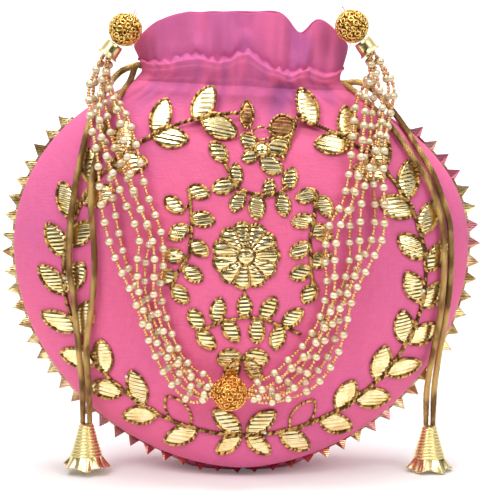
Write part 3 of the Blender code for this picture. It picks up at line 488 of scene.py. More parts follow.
def clear_nylon():
    made = Finish("clear_nylon", (0.85, 0.83, 0.78), 0.12, Transmission_Weight=0.8, IOR=1.5)
    made.bump(made.grain(900, made.place()), 0.00005, 0.2)
    return made.material


def cut_crystal():
    made = Finish("cut_crystal", (0.95, 0.95, 0.97), 0.05, 0.3, Coat_Weight=1.0)
    made.bump(made.grain(1200, made.place()), 0.0001, 0.4)
    return made.material


def edging_foil():
    """The edging's ribbon: mirror gold on most teeth, rosy where it shows its backing, the backing darker on
    the lowest teeth as painted shade under the bag.
    """
    made = Finish("edging_foil", (0.93, 0.76, 0.40), 0.22, 1.0)
    spot = made.node("ShaderNodeSeparateXYZ", {"Vector": made.place()})
    right = made.between(spot.outputs["X"], 0.05, 0.09)
    high = made.between(spot.outputs["Z"], 0.10, 0.13)
    low = made.between(spot.outputs["Z"], 0.05, 0.025)
    rosy = made.combined(made.combined(right, high, "MULTIPLY"), low, "MAXIMUM")
    rosy = made.combined(rosy, made.between(made.attribute("tone"), 0.25, 0.4), "MULTIPLY")
    patch = made.between(made.grain(160, made.place(), 3.0), 0.4, 0.6)
    gold = made.mix(patch, (0.92, 0.74, 0.38), (0.36, 0.21, 0.07))
    # Painted shade: the backing darkens towards the bottom, where the bag overhangs the teeth.
    backing = made.mix(low, (0.86, 0.22, 0.36), (0.50, 0.17, 0.20))
    made.colour(made.mix(made.between(rosy, 0, 1, 0, 0.85), gold, backing))
    made.bump(made.combined(made.lines(380, made.place()), made.grain(300, made.place())), 0.00012, 0.5)
    return made.material


SILK = pink_silk()
LINING = lining_cotton()
FOIL = ribbon_foil("ribbon_foil", (0.96, 0.82, 0.47), (0.82, 0.62, 0.27), 0.17)
DARK_FOIL = ribbon_foil("aged_foil", (0.34, 0.17, 0.07), (0.18, 0.07, 0.03), 0.3)
OUTLINE_THREAD = twisted_thread("outline_thread", (0.16, 0.07, 0.018), (0.92, 0.62, 0.21), 0.3)
VINE_THREAD = twisted_thread("vine_thread", (0.11, 0.05, 0.014), (0.68, 0.42, 0.13), 0.32)
BRAID = drawstring_braid()
PEARL = pearl_lustre()
SEED = seed_gold()
FILIGREE = worked_gold("filigree_gold", (1.0, 0.74, 0.26), (0.85, 0.48, 0.10), 0.18)
# The dark core finishes are painted shade for the hollow inside each wirework bead.
HOLLOW_SHADE = worked_gold("filigree_hollow_shade", (0.50, 0.24, 0.05), (0.20, 0.08, 0.015), 0.4)
AMBER_GOLD = worked_gold("amber_gold", (1.0, 0.62, 0.18), (0.80, 0.34, 0.07), 0.16)
AMBER_HOLLOW_SHADE = worked_gold("amber_hollow_shade", (0.80, 0.36, 0.08), (0.40, 0.13, 0.02), 0.35)
POLISHED = polished_gold()
NYLON = clear_nylon()
CRYSTAL = cut_crystal()
SKIRT_FOIL = ribbon_foil("skirt_foil", (0.92, 0.81, 0.47), (0.72, 0.55, 0.24), 0.26)
EDGING_FOIL = edging_foil()


# Making pieces


def round_turns(count):
    """Angles evenly round a circle."""
    return [2 * math.pi * k / count for k in range(count)]


def row_faces(rows, columns, first=0, closed=False, flipped=False):
    """Four-sided faces between rows of points. Closed joins the end of each row to its start."""
    faces = []
    for row in range(rows - 1):
        for k in range(columns if closed else columns - 1):
            a, b = first + row * columns + k, first + row * columns + (k + 1) % columns
            c, d = b + columns, a + columns
            faces.append((a, d, c, b) if flipped else (a, b, c, d))
    return faces


def loop_faces(rows, columns):
    """Faces over closed rows of points, with the last row joined to the first."""
    last = (rows - 1) * columns
    closing = [(last + k, k, (k + 1) % columns, last + (k + 1) % columns) for k in range(columns)]
    return row_faces(rows, columns, closed=True, flipped=True) + closing


def mesh_of(name, vertices, faces, uv=None):
    mesh = bpy.data.meshes.new(name)
    mesh.from_pydata([tuple(v) for v in vertices], [], faces)
    if uv:
        layer = mesh.uv_layers.new(name="cloth")
        for loop in mesh.loops:
            layer.data[loop.index].uv = uv[loop.vertex_index]
    return mesh


def placed(name, data):
    """A new object in the scene."""
    made = bpy.data.objects.new(name, data)
    bpy.context.scene.collection.objects.link(made)
    return made


def baked(helper):
    """The mesh that a helper's modifiers make. The helper goes."""
    graph = bpy.context.evaluated_depsgraph_get()
    mesh = bpy.data.meshes.new_from_object(helper.evaluated_get(graph))
    bpy.data.objects.remove(helper)
    return mesh


def piece(name, vertices, faces, finish, body, node, smooth_faces=True, uv=None):
    """A mesh piece from its points and faces, riding on a body and standing for its frame node."""
    return settle(name, mesh_of(name, vertices, faces, uv), finish, body, node, smooth_faces)


def settle(name, mesh, finish, body, node, smooth_faces=True):
    """Puts a mesh in the scene with its finish, its body and the node it stands for."""
    made = placed(name, mesh)
    mesh.materials.clear()
    mesh.materials.append(finish)
    mesh.polygons.foreach_set("use_smooth", [smooth_faces] * len(mesh.polygons))
    mesh.update()
    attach(made, body)
    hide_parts(node)
    return made


def thicken(sheet, thickness):
    """Gives a sheet of cloth its thickness, inwards."""
    wall = sheet.modifiers.new("wall", "SOLIDIFY")
    wall.thickness = thickness
    wall.offset = -1


def laying_tree():
    """Lays copies of one small piece on a carrier's points, each turned, sized and toned."""
    tree = bpy.data.node_groups.new("laid_pieces", "GeometryNodeTree")
    inputs = (("Carrier", "Geometry"), ("Piece", "Object"), ("Size", "Float"), ("Size Spread", "Float"),
              ("Seed", "Int"), ("Finish", "Material"))
    for name, kind in inputs:
        tree.interface.new_socket(name, in_out="INPUT", socket_type="NodeSocket" + kind)
    tree.interface.new_socket("Pieces", in_out="OUTPUT", socket_type="NodeSocketGeometry")
    given = add_node(tree, "NodeGroupInput").outputs
    vectors = {"data_type": "FLOAT_VECTOR"}
    turn = add_node(tree, "GeometryNodeInputNamedAttribute", {"Name": "turn"}, **vectors).outputs["Attribute"]
    grow = add_node(tree, "GeometryNodeInputNamedAttribute", {"Name": "grow"}, **vectors).outputs["Attribute"]
    source = add_node(tree, "GeometryNodeObjectInfo", {"Object": given["Piece"]})
    rotation = add_node(tree, "FunctionNodeEulerToRotation", {"Euler": turn})
    sizes = {0: given["Size"], 1: given["Size Spread"]}
    low = add_node(tree, "ShaderNodeMath", sizes, operation="SUBTRACT").outputs[0]
    high = add_node(tree, "ShaderNodeMath", sizes, operation="ADD").outputs[0]
    spread = add_node(tree, "FunctionNodeRandomValue", {2: low, 3: high, "Seed": given["Seed"]})
    scaled = add_node(tree, "ShaderNodeVectorMath", {0: grow, "Scale": spread.outputs[1]}, operation="SCALE")
    lay = add_node(tree, "GeometryNodeInstanceOnPoints", {
        "Points": given["Carrier"], "Instance": source.outputs["Geometry"],
        "Rotation": rotation.outputs["Rotation"], "Scale": scaled.outputs[0]})
    tone = add_node(tree, "FunctionNodeRandomValue", {"Seed": given["Seed"]}).outputs[1]
    keep = add_node(tree, "GeometryNodeStoreNamedAttribute", {
        "Geometry": lay.outputs["Instances"], "Name": "tone", "Value": tone}, domain="INSTANCE")
    real = add_node(tree, "GeometryNodeRealizeInstances", {"Geometry": keep.outputs["Geometry"]})
    paint = add_node(tree, "GeometryNodeSetMaterial", {
        "Geometry": real.outputs["Geometry"], "Material": given["Finish"]})
    add_node(tree, "NodeGroupOutput", {"Pieces": paint.outputs["Geometry"]})
    return tree


LAYING = laying_tree()
UNIT = Vector((1, 1, 1))


def laid(name, shape, spots, finish, body, node, spread=0.0, seed=1, smooth_faces=True):
    """One mesh of copies of shape. Each spot is its place, its three axes and its size along them."""
    carrier_mesh = mesh_of(name, [spot[0] for spot in spots], [])
    for key, column in (("turn", 1), ("grow", 2)):
        store = carrier_mesh.attributes.new(key, "FLOAT_VECTOR", "POINT")
        for number, spot in enumerate(spots):
            value = spot[column]
            store.data[number].vector = value.to_euler() if key == "turn" else value
    carrier = placed(name + "_carrier", carrier_mesh)
    source = placed(name + "_shape", shape)
    modifier = carrier.modifiers.new("laid", "NODES")
    modifier.node_group = LAYING
    given = {"Piece": source, "Size": 1.0, "Size Spread": spread, "Seed": seed, "Finish": finish}
    for item in LAYING.interface.items_tree:
        if item.in_out == "INPUT" and item.name in given:
            modifier[item.identifier] = given[item.name]
    mesh = baked(carrier)
    bpy.data.objects.remove(source)
    return settle(name, mesh, finish, body, node, smooth_faces)


def facing_matrix(along, normal):
    """Turn that sets a piece's X along a path and its Z off the surface."""
    along = along.normalized()
    across = normal.cross(along).normalized()
    up = along.cross(across)
    return Matrix((along, across, up)).transposed()


def ball_shape(name, segments, rings):
    bm = bmesh.new()
    bmesh.ops.create_uvsphere(bm, u_segments=segments, v_segments=rings, radius=0.5)
    mesh = bpy.data.meshes.new(name)
    bm.to_mesh(mesh)
    bm.free()
    # drill_end runs from 0 at the middle to 1 at the ends along X; the pearl finish browns the ends with it,
    # as grime and painted shade.
    ends = [abs(vertex.co.x) * 2 for vertex in mesh.vertices]
    mesh.attributes.new("drill_end", "FLOAT", "POINT").data.foreach_set("value", ends)
    return mesh


def ring_shape(name, wire):
    """A closed wire ring of outer radius 0.5, lying flat."""
    turns, sides = 12, 6
    vertices = []
    for turn in round_turns(turns):
        for tilt in round_turns(sides):
            radius = 0.5 - wire + wire * math.cos(tilt)
            vertices.append((radius * math.cos(turn), radius * math.sin(turn), wire * math.sin(tilt)))
    return mesh_of(name, vertices, loop_faces(turns, sides))


def tube(name, path, diameter, finish, body, node, sides, relief=None, taper=None):
    """A closed round tube along a path, with an optional relief over turn and distance."""
    vertices, uv, run = [], [], 0.0
    up = Vector((0, 0, 1))
    for k, spot in enumerate(path):
        along = (path[min(k + 1, len(path) - 1)] - path[max(k - 1, 0)]).normalized()
        across = along.cross(up)
        across = across.normalized() if across.length > 1e-4 else Vector((1, 0, 0))
        up = across.cross(along).normalized()
        run += (spot - path[k - 1]).length if k else 0.0
        scale = taper(k / (len(path) - 1)) if taper else 1.0
        for turn in round_turns(sides):
            radius = (diameter / 2 + (relief(turn, run) if relief else 0.0)) * scale
            vertices.append(spot + (across * math.cos(turn) + up * math.sin(turn)) * radius)
            uv.append((abs(turn - math.pi) * diameter * 0.5 / MM, run / MM))
    faces = row_faces(len(path), sides, closed=True)
    faces.append(tuple(range(sides))[::-1])
    faces.append(tuple(len(vertices) - sides + side for side in range(sides)))
    return piece(name, vertices, faces, finish, body, node, uv=uv)


def spun(name, profile, steps, finish, body, node, place, axis=(0, 0, 1), ruffle=None):
    """A turned piece, its outline of radius and height run once round, about an axis at a place."""
    turn_to = Vector((0, 0, 1)).rotation_difference(Vector(axis)).to_matrix()
    vertices = []
    for radius, height in profile:
        for turn in round_turns(steps):
            wide, lift = ruffle(radius, height, turn) if ruffle else (radius, height)
            spot = Vector((wide * math.cos(turn), wide * math.sin(turn), lift))
            vertices.append(place + turn_to @ spot)
    return piece(name, vertices, loop_faces(len(profile), steps), finish, body, node)


TWIST = ball_shape("twist", 6, 4)
PEARL_SHAPE = ball_shape("pearl", 14, 9)
SEED_SHAPE = ball_shape("seed", 8, 5)


# Cloth


GATHER_BUMPS = ((2, 8, 7.5), (-22, 13, 4.0), (-46, 9, -1.5), (24.7, 4.5, -3.0), (34, 5, 1.5), (45, 9, -5.0))


def gather_shift(x):
    """How much higher the gather line lies at x than its plain height."""
    return sum(rise * bell_curve(x / MM - at, width) for at, width, rise in GATHER_BUMPS) * MM


def eased_wall(theta, level, side):
    """The wall with the corner below the channel drawn out into one flowing curve."""
    reach = (level - 1) / (0.1 if level < 1 else 0.5)
    share = bell_curve(reach, 0.8)
    plain = wall_point(theta, level, side)
    if share < 0.02:
        return plain
    total = Vector()
    for step in (-2, -1, 0, 1, 2):
        moved = reach + step * 0.42
        total += wall_point(theta, 1 + moved * (0.1 if moved < 0 else 0.5), side) * (3 - abs(step))
    return plain.lerp(total / 9, share)


def neck_folds(across, side):
    """Gathers round the neck, 0 on a crest and 1 in a valley: uneven, and sharp in the valleys."""
    drift = 1.6 * noise.noise(Vector((across * 3.1, side * 3.7, 0.4)))
    wide = 0.5 - 0.5 * math.cos(across * 19 + 2.2 * drift + 0.8)
    fine = 0.5 - 0.5 * math.cos(across * 47 + 3.4 * drift)
    return 0.6 * wide**2 + 0.4 * fine**2


# The frill's bands of painted mauve shade: x where each lies, half its width, how deep its colour.
FRILL_BANDS = ((-34, 13, 0.58), (-6, 12, 0.62), (30, 5.5, 0.9), (42, 4, 0.4), (52, 5, 0.7))


def frill_shade(x):
    """How mauve the front of the frill looks at x, from the folds that turn away from the light."""
    return max(depth * (1 - smooth((abs(x - at) - width + 4) / 8)) for at, width, depth in FRILL_BANDS)


def cloth_point(theta, level, side):
    """The finished cloth: the wall with its gathers, puffs, folds and soft unevenness, and how much painted
    mauve shade each place gets.
    """
    spot = eased_wall(theta, level, side)
    across = math.cos(theta)
    edge = math.sin(theta)
    out, fold = 0.0, 0.0
    gathers = neck_folds(across, side)
    if side == FRONT:
        sunk = skin(spot.x, spot.z) * (1 - smooth((level - 1.0) / 0.25))
        out += sunk + eased_step(level, edge)
        # Painted shade: mauve where the cloth sinks into a fold.
        fold = min(1.0, max(0.0, -sunk / (2.2 * MM)))
    elif level <= 1.02:
        soft = noise.noise(Vector((spot.x, 1.0, spot.z)) * 26) * 0.6 * MM
        out += (soft - smooth((level - 0.72) / 0.28) * 0.6 * MM) * edge
    below = smooth((level - 0.84) / 0.16) * (1 - smooth((level - 1.5) / 0.1))
    deepest = 3.0 - 0.8 * smooth((level - 0.94) / 0.12)
    out += (0.9 - deepest * gathers) * MM * edge * below * (0.6 + 0.4 * smooth((level - 0.98) / 0.3))
    # Painted shade in the valleys of the gathers.
    fold = max(fold, 0.8 * gathers * below * edge)
    groove = bell_curve(level - 1.53, 0.05)
    puff = bell_curve(level - 1.34, 0.14)
    out += (0.9 * puff - 1.5 * groove) * MM * edge
    # Painted shade in the groove at the gather line.
    fold = max(fold, 0.8 * groove * edge)
    if level > 1.5:
        deep = pleats(theta, side)
        rise = smooth((level - 1.5) / 0.12)
        far = smooth((level - 1.5) / 0.5)
        ripple = neck_folds(across * 0.93 + 0.05, side) * (1 - 0.7 * far)
        out += (1.1 - 3.5 * ripple) * MM * edge * rise
        # Painted shade over the frill: at its base, in its pleats and in its ripples.
        fold = max(fold, ((0.2 + 0.5 * deep) * (1 - 0.7 * far) + 0.45 * ripple) * edge, 0.4 * deep * edge)
        if side == FRONT:
            sway = 3.0 * noise.noise(Vector((across * 4, level * 3, 0.7)))
            fold = max(fold, frill_shade(spot.x / MM + sway) * rise)
        swell = noise.noise(Vector((across * 3.2, side * 5, level * 2)))
        out += 1.8 * MM * swell * edge * rise
        spot.z += 0.9 * MM * noise.noise(Vector((across * 6, side * 2, 0.3))) * far
    if side == FRONT:
        lift = gather_shift(spot.x) * edge
        spot.z += lift * smooth((level - 0.93) / 0.5) * (1 - smooth((level - 1.6) / 0.4))
    ragged = bell_curve(level - 1.56, 0.07)
    notch = abs(math.sin(across * 31 + 2 * noise.noise(Vector((across * 5, side, 0.2)))))
    spot.z -= (2.4 * (1 - gathers) ** 2 + 1.9 * (1 - notch)) * MM * ragged * edge
    near_seam = 1 - smooth(edge / 0.3)
    if level < 0.98:
        out += 0.35 * MM * near_seam * edge / 0.3 * math.cos(level * 150)
    spot.y += side * out
    return spot, min(1.0, fold)


def cloth_panel(name, side, columns, node):
    """One silk panel, from the lowest point of the seam to the frill's edge, with its thickness."""
    levels = [0.012 * k for k in range(1, 73)] + [0.874 + 0.009 * k for k in range(1, 126)]
    levels = [level for level in levels if level < 1.995] + [2.0]
    outer, folds, uv = [], [], []
    for level in levels:
        run = 0.0
        row = [cloth_point(math.pi * k / columns, level, side) for k in range(columns + 1)]
        middle = row[columns // 2][0]
        rise = level * 0.19
        for k, (spot, fold) in enumerate(row):
            run += (spot - row[k - 1][0]).length if k else 0.0
            outer.append(spot)
            folds.append(fold)
            uv.append((run + middle.x, rise))
    pole, pole_fold = cloth_point(math.pi / 2, 0.0, side)
    outer.append(pole)
    folds.append(pole_fold)
    uv.append((0.0, 0.0))
    faces = row_faces(len(levels), columns + 1)
    faces += [(len(outer) - 1, k + 1, k) for k in range(columns)]
    if side == FRONT:
        faces = [face[::-1] for face in faces]
    mesh = mesh_of(name + "_sheet", outer, faces, uv)
    # The fold attribute holds the painted mauve shade for each point.
    mesh.attributes.new("fold", "FLOAT", "POINT").data.foreach_set("value", folds)
    sheet = placed(name + "_sheet", mesh)
    thicken(sheet, CLOTH_THICKNESS)
    settle(name, baked(sheet), SILK, "bag", node)


def bag_lining():
    """The inner bag, a little slack, with its pocket for the drawstrings at the channel."""
    inset, room, columns = 2.65 * MM, 6.4 * MM, 64
    levels = [0.03 + 0.025 * k for k in range(37)]
    levels += [0.97, 1.0, 1.04, 1.12, 1.25, 1.38, 1.46, 1.49, 1.52, 1.53]
    rows = []
    for level in levels:
        depth = inset + room * smooth((level - 0.82) / 0.1)
        ring = [wall_point(math.pi * k / columns, level, FRONT, depth) for k in range(columns + 1)]
        ring += [wall_point(math.pi - math.pi * k / columns, level, BACK, depth) for k in range(columns + 1)]
        for spot in ring:
            spot.y += 0.5 * MM * noise.noise(spot * 45)
        rows.append(ring)
    count = len(rows[0])
    vertices = [spot for ring in rows for spot in ring]
    vertices.append(sum(rows[0], Vector()) / count + Vector((0, 0, 3 * MM)))
    faces = [face[::-1] for face in row_faces(len(rows), count, closed=True)]
    faces += [(k, (k + 1) % count, len(vertices) - 1) for k in range(count)]
    thicken(piece("bag_lining", vertices, faces, LINING, "bag", "lining"), LINING_THICKNESS)


def edging_station(angle, side, reach):
    """A point of the edging at a seam angle, reach outside the seam."""
    half_width, slide, height = seam_at(angle)
    rise = SHOULDER_RISE if angle > 0 else BELLY_HEIGHT - SEAM_LIFT
    outward = Vector((side * math.cos(angle) / BODY_HALF_WIDTH, 0, math.sin(angle) / rise)).normalized()
    fold = TOOTH_FOLD * smooth((-angle - math.radians(38)) / math.radians(52))
    x = side * half_width
    height -= tilt_at((angle - DOWN) / (NECK_ANGLE - DOWN)) * x
    seam = Vector((x, SEAM_Y + slide, height))
    if reach <= 0:
        return seam + outward * reach
    return seam + outward * reach * math.cos(fold) + Vector((0, -reach * math.sin(fold), 0))


def seam_stations():
    """Seam angles and sides, half a tooth apart, from the left end round the bottom to the right."""
    fine = [(EDGING_TOP + (DOWN - EDGING_TOP) * k / 400, -1) for k in range(401)]
    fine += [(angle, 1) for angle, _ in fine[-2::-1]]
    places = [edging_station(angle, side, 0) for angle, side in fine]
    along = [0.0]
    for a, b in zip(places, places[1:]):
        along.append(along[-1] + (b - a).length)
    steps = 2 * round(along[-1] / TOOTH_PITCH)
    picked, at = [], 0
    for k in range(steps + 1):
        while at < len(along) - 1 and along[at] < along[-1] * k / steps:
            at += 1
        picked.append(fine[at])
    return picked


def tooth_shape():
    """One folded ribbon triangle: a wide facet and a narrow one on each face, 1 wide and 1 long."""
    vertices = [(-0.52, -0.22, 0), (0.52, -0.22, 0), (0, 1, 0), (0.14, -0.22, 0.10), (-0.14, -0.22, -0.10)]
    faces = [(0, 3, 2), (3, 1, 2), (1, 4, 2), (4, 0, 2), (0, 4, 1, 3)]
    mesh = mesh_of("tooth", vertices, faces)
    bm = bmesh.new()
    bm.from_mesh(mesh)
    bmesh.ops.recalc_face_normals(bm, faces=bm.faces)
    bm.to_mesh(mesh)
    bm.free()
    return mesh


def zigzag_edging():
    """Gold ribbon folded into teeth all round the side seam, on the band that holds them."""
    rng = random.Random(4)
    stations = seam_stations()
    spots = []
    for k in range(1, len(stations) - 1, 2):
        (angle, side), before, after = stations[k], stations[k - 1], stations[k + 1]
        root = edging_station(angle, side, 0)
        tip = edging_station(angle, side, TOOTH_LENGTH)
        along = edging_station(*after, 0) - edging_station(*before, 0)
        outward = (tip - root).normalized()
        across = (along - outward * along.dot(outward)).normalized()
        normal = across.cross(outward)
        turn = Matrix((across, outward, normal)).transposed()
        turn = turn @ Matrix.Rotation(rng.uniform(-0.09, 0.09), 3, "Z")
        turn = turn @ Matrix.Rotation(rng.uniform(-0.2, 0.2), 3, "Y")
        length = (tip - root).length * rng.uniform(0.9, 1.02)
        spots.append((root, turn, Vector((TOOTH_PITCH, length, TOOTH_PITCH))))
    laid("edging_teeth", tooth_shape(), spots, EDGING_FOIL, "bag", "zigzag_edging",
         smooth_faces=False, seed=9)
    half = Vector((0, 0.22 * MM, 0))
    vertices = []
    for angle, side in stations:
        inner, outer = edging_station(angle, side, -0.9 * MM), edging_station(angle, side, 1.1 * MM)
        vertices += [inner - half, outer - half, outer + half, inner + half]
    faces = row_faces(len(stations), 4, closed=True, flipped=True)
    faces += [(0, 1, 2, 3), tuple(len(vertices) - 4 + corner for corner in (3, 2, 1, 0))]
    piece("edging_band", vertices, faces, EDGING_FOIL, "bag", "zigzag_edging", False)


# Appliqué


def leaf_half_width(share, width):
    """Half the leaf's width at a share of its length: a round base and a short point."""
    return 0.5 * width * math.sin(math.pi * share**0.94) ** 0.6


class Appliqué:
    """Gathers the foil and the thread of one appliqué piece, laid on the front cloth."""

    def __init__(self, name, node, seed):
        self.name, self.node = name, node
        self.vertices, self.faces = [], []
        self.dark_vertices, self.dark_faces = [], []
        self.outline, self.vine = [], []
        self.rng = random.Random(seed)
        self.seed = seed

    def foil(self, place, angle, length, width, dark):
        """A ribbed foil leaf from its base at place, with its edge tucked under the thread."""
        columns, rows = max(10, round(length / (0.45 * MM))), max(6, round(width / (0.6 * MM)))
        along = Vector((math.cos(angle), math.sin(angle)))
        across = Vector((-along.y, along.x))
        vertices, faces = (self.dark_vertices, self.dark_faces) if dark else (self.vertices, self.faces)
        first = len(vertices)
        tilt = self.rng.uniform(-0.22, 0.22)
        phase = self.rng.uniform(0, 6)
        pitch = RIB_PITCH * self.rng.uniform(0.88, 1.15)
        depth = RIB_DEPTH * self.rng.uniform(0.7, 1.25)
        for i in range(columns + 1):
            share = 0.004 + 0.992 * i / columns
            half = leaf_half_width(share, width) * 0.97
            for j in range(rows + 1):
                side = 2 * j / rows - 1
                x, z = Vector(place) + along * share * length + across * half * side
                rim = (1 - side * side) * math.sin(math.pi * share) ** 0.5
                rib = math.sin(2 * math.pi * (z + tilt * x) / pitch + phase) * depth * smooth(rim * 3)
                lift = FOIL_LIFT * (0.35 + 0.65 * smooth(rim * 2.4)) + 0.3 * MM * rim + rib
                vertices.append(on_cloth(x, z, lift)[0])
        faces += row_faces(columns + 1, rows + 1, first, flipped=True)
        row_starts = [first + i * (rows + 1) for i in range(columns + 1)]
        underside = row_starts + [row_starts[-1] + j for j in range(1, rows + 1)]
        underside += [start + rows for start in row_starts[-2::-1]]
        underside += [first + j for j in range(rows - 1, 0, -1)]
        faces.append(tuple(underside))

    def rope(self, path, thickness, lift, store):
        """Twists of thread along a path of places on the cloth."""
        flat = smooth_path([Vector((p[0], p[1], 0)) for p in path], thickness * 0.72)
        for k, spot in enumerate(flat):
            before, after = flat[max(k - 1, 0)], flat[min(k + 1, len(flat) - 1)]
            centre, normal = on_cloth(spot.x, spot.y, lift)
            along = after - before
            ahead = Vector((along.x, 0, along.y))
            ahead = (ahead - normal * ahead.dot(normal)).normalized()
            turn = facing_matrix(ahead, normal) @ Matrix.Rotation(math.radians(38), 3, "Z")
            store.append((centre, turn, Vector((thickness * 1.5, thickness * 0.85, thickness * 0.85))))

    def leaf(self, place, angle, length, width, filled=True, dark=False, thread=OUTLINE):
        if filled:
            self.foil(place, angle, length, width, dark)
        along = Vector((math.cos(angle), math.sin(angle)))
        across = Vector((-along.y, along.x))
        path = []
        for k in range(29):
            turn = 2 * math.pi * k / 28
            share = 0.5 - 0.5 * math.cos(turn)
            half = leaf_half_width(min(0.999, max(0.001, share)), width)
            spot = Vector(place) + along * share * length + across * half * (1 if turn < math.pi else -1)
            path.append(spot)
        self.rope(path, thread, ROPE_LIFT, self.outline)

    def stem(self, path, thickness):
        self.rope(path, thickness, ROPE_LIFT, self.vine)

    def finish(self):
        if self.faces:
            piece(self.name + "_foil", self.vertices, self.faces, FOIL, "bag", self.node)
        if self.dark_faces:
            piece(self.name + "_aged_foil", self.dark_vertices, self.dark_faces, DARK_FOIL, "bag", self.node)
        if self.outline:
            laid(self.name + "_outlines", TWIST, self.outline, OUTLINE_THREAD, "bag", self.node,
                 spread=0.1, seed=self.seed)
        if self.vine:
            laid(self.name + "_vine", TWIST, self.vine, VINE_THREAD, "bag", self.node,
                 spread=0.12, seed=self.seed + 1)


def wreath_spot(turn, side):
    """A place on the wreath's vine, turn down from its top, on the side given."""
    x = WREATH_CENTRE[0] + side * WREATH_HALF_WIDTH * math.sin(turn)
    return Vector((x, WREATH_CENTRE[1] + WREATH_HALF_HEIGHT * math.cos(turn)))


def wreath_leaf(work, side, turn, swing, length, width, filled):
    """A leaf that leaves the wreath's vine at turn, swung from the way the vine grows."""
    spot = wreath_spot(turn, side)
    ahead = wreath_spot(turn - 0.02, side)
    growth = math.atan2(ahead.y - spot.y, ahead.x - spot.x)
    work.leaf(spot, growth - side * swing, length, width, filled)


def half_wreath(name, side, top_turn, outer, inner, petals, seed):
    """One half of the wreath: its vine, its outer and inner leaves and its petals at the bottom."""
    work = Appliqué(name, name, seed)
    rng = random.Random(seed + 50)
    for start, step, count, swing in (outer, inner):
        for k in range(count):
            hollow = swing < 0 and k == count - 1
            turn = math.radians(start + step * k)
            length, width = LEAF_LENGTH * rng.uniform(0.94, 1.05), LEAF_WIDTH * rng.uniform(0.93, 1.06)
            lean = math.radians(swing * rng.uniform(0.85, 1.15))
            wreath_leaf(work, side, turn, lean, length, width, not hollow)
    for x, z, degrees, length, width in petals:
        work.leaf((x * MM, z * MM), math.radians(degrees), length * MM, width * MM)
    bottom = math.pi - 0.012
    work.stem([wreath_spot(top_turn + (bottom - top_turn) * k / 40, side) for k in range(41)], WREATH_STEM)
    return work


def spray(name, stem, leaves, seed):
    """A short stem with leaves, each of x, z, length, width in millimetres and its angle."""
    work = Appliqué(name, name, seed)
    fine = [Vector((p.x, p.y)) for p in smooth_path([(x * MM, z * MM, 0) for x, z in stem], 1 * MM)]
    for x, z, length, wide, degrees in leaves:
        middle = Vector((x, z)) * MM
        angle = math.radians(degrees)
        along = Vector((math.cos(angle), math.sin(angle)))
        start = middle - along * length * MM / 2
        work.leaf(start, angle, length * MM, wide * MM, thread=FINE_OUTLINE)
        joint = min(fine, key=lambda p: (p - middle).length)
        near = min((start, start + along * length * MM), key=lambda p: (p - joint).length)
        if (near - joint).length > 1.2 * MM:
            work.stem([joint, joint.lerp(near, 0.5), near], TWIG)
    work.stem([(x * MM, z * MM) for x, z in stem], SPRAY_STEM)
    return work


def domed_round(work, centre, spokes, rings, reach_at, lift_at):
    """A closed round of foil on the cloth, from its reach and lift at each share and turn."""
    first = len(work.vertices)
    for ring in range(1, rings + 1):
        for turn in round_turns(spokes):
            reach = reach_at(turn) * ring / rings
            x, z = centre.x + reach * math.cos(turn), centre.y + reach * math.sin(turn)
            work.vertices.append(on_cloth(x, z, lift_at(reach, turn))[0])
    work.vertices.append(on_cloth(*centre, lift_at(0, 0))[0])
    last = len(work.vertices) - 1
    work.faces += [(first + k, first + (k + 1) % spokes, last) for k in range(spokes)]
    work.faces += row_faces(rings, spokes, first, closed=True, flipped=True)
    work.faces.append(tuple(range(last - 1, last - 1 - spokes, -1)))


def folded_flower(work, place, radius, petals, dome):
    """A round of folded petals, ridged along each one, with a scalloped edge."""
    centre = Vector(place)

    def petal_wave(turn):
        return abs(math.cos(petals * turn / 2))

    def reach_at(turn):
        return radius * (1 - 0.1 * (1 - petal_wave(turn) ** 0.7))

    def lift_at(reach, turn):
        share = reach / radius
        rib = math.sin(2 * math.pi * (centre.y + reach * math.sin(turn)) / RIB_PITCH) * RIB_DEPTH * 1.1
        ridge = (0.9 * petal_wave(turn) - 0.35) * MM * smooth(share * 3) * smooth((1.08 - share) * 4)
        return FOIL_LIFT + dome * (1 - share**2) + ridge + rib * smooth(share * 2)

    domed_round(work, centre, petals * 12, 24, reach_at, lift_at)
    edge = []
    for k in range(petals * 8 + 1):
        turn = 2 * math.pi * k / (petals * 8)
        reach = radius * (1.03 - 0.11 * (1 - petal_wave(turn) ** 0.7))
        edge.append((centre.x + reach * math.cos(turn), centre.y + reach * math.sin(turn)))
    work.rope(edge, 1.5 * MM, ROPE_LIFT, work.outline)
    for k in range(petals):
        turn = 2 * math.pi * (k + 0.5) / petals
        ray = Vector((math.cos(turn), math.sin(turn)))
        valley = [centre + ray * radius * share for share in (0.34, 0.6, 0.9)]
        work.rope(valley, 0.8 * MM, ROPE_LIFT + dome * 0.55, work.outline)


def button(work, place, radius, lift):
    """A small domed foil button in a ring of thread."""
    centre = Vector(place)

    def lift_at(reach, turn):
        share = reach / radius
        ribs = RIB_DEPTH * 0.9 if share else 0.0
        rib = math.sin(2 * math.pi * (centre.y + reach * math.sin(turn)) / (RIB_PITCH * 0.8)) * ribs
        return lift + 1.1 * MM * (1 - share**2) + rib

    domed_round(work, centre, 28, 8, lambda turn: radius, lift_at)
    circle = []
    for k in range(25):
        turn = 2 * math.pi * k / 24
        circle.append((centre.x + radius * math.cos(turn), centre.y + radius * math.sin(turn)))
    work.rope(circle, FINE_OUTLINE, lift + 0.2 * MM, work.outline)


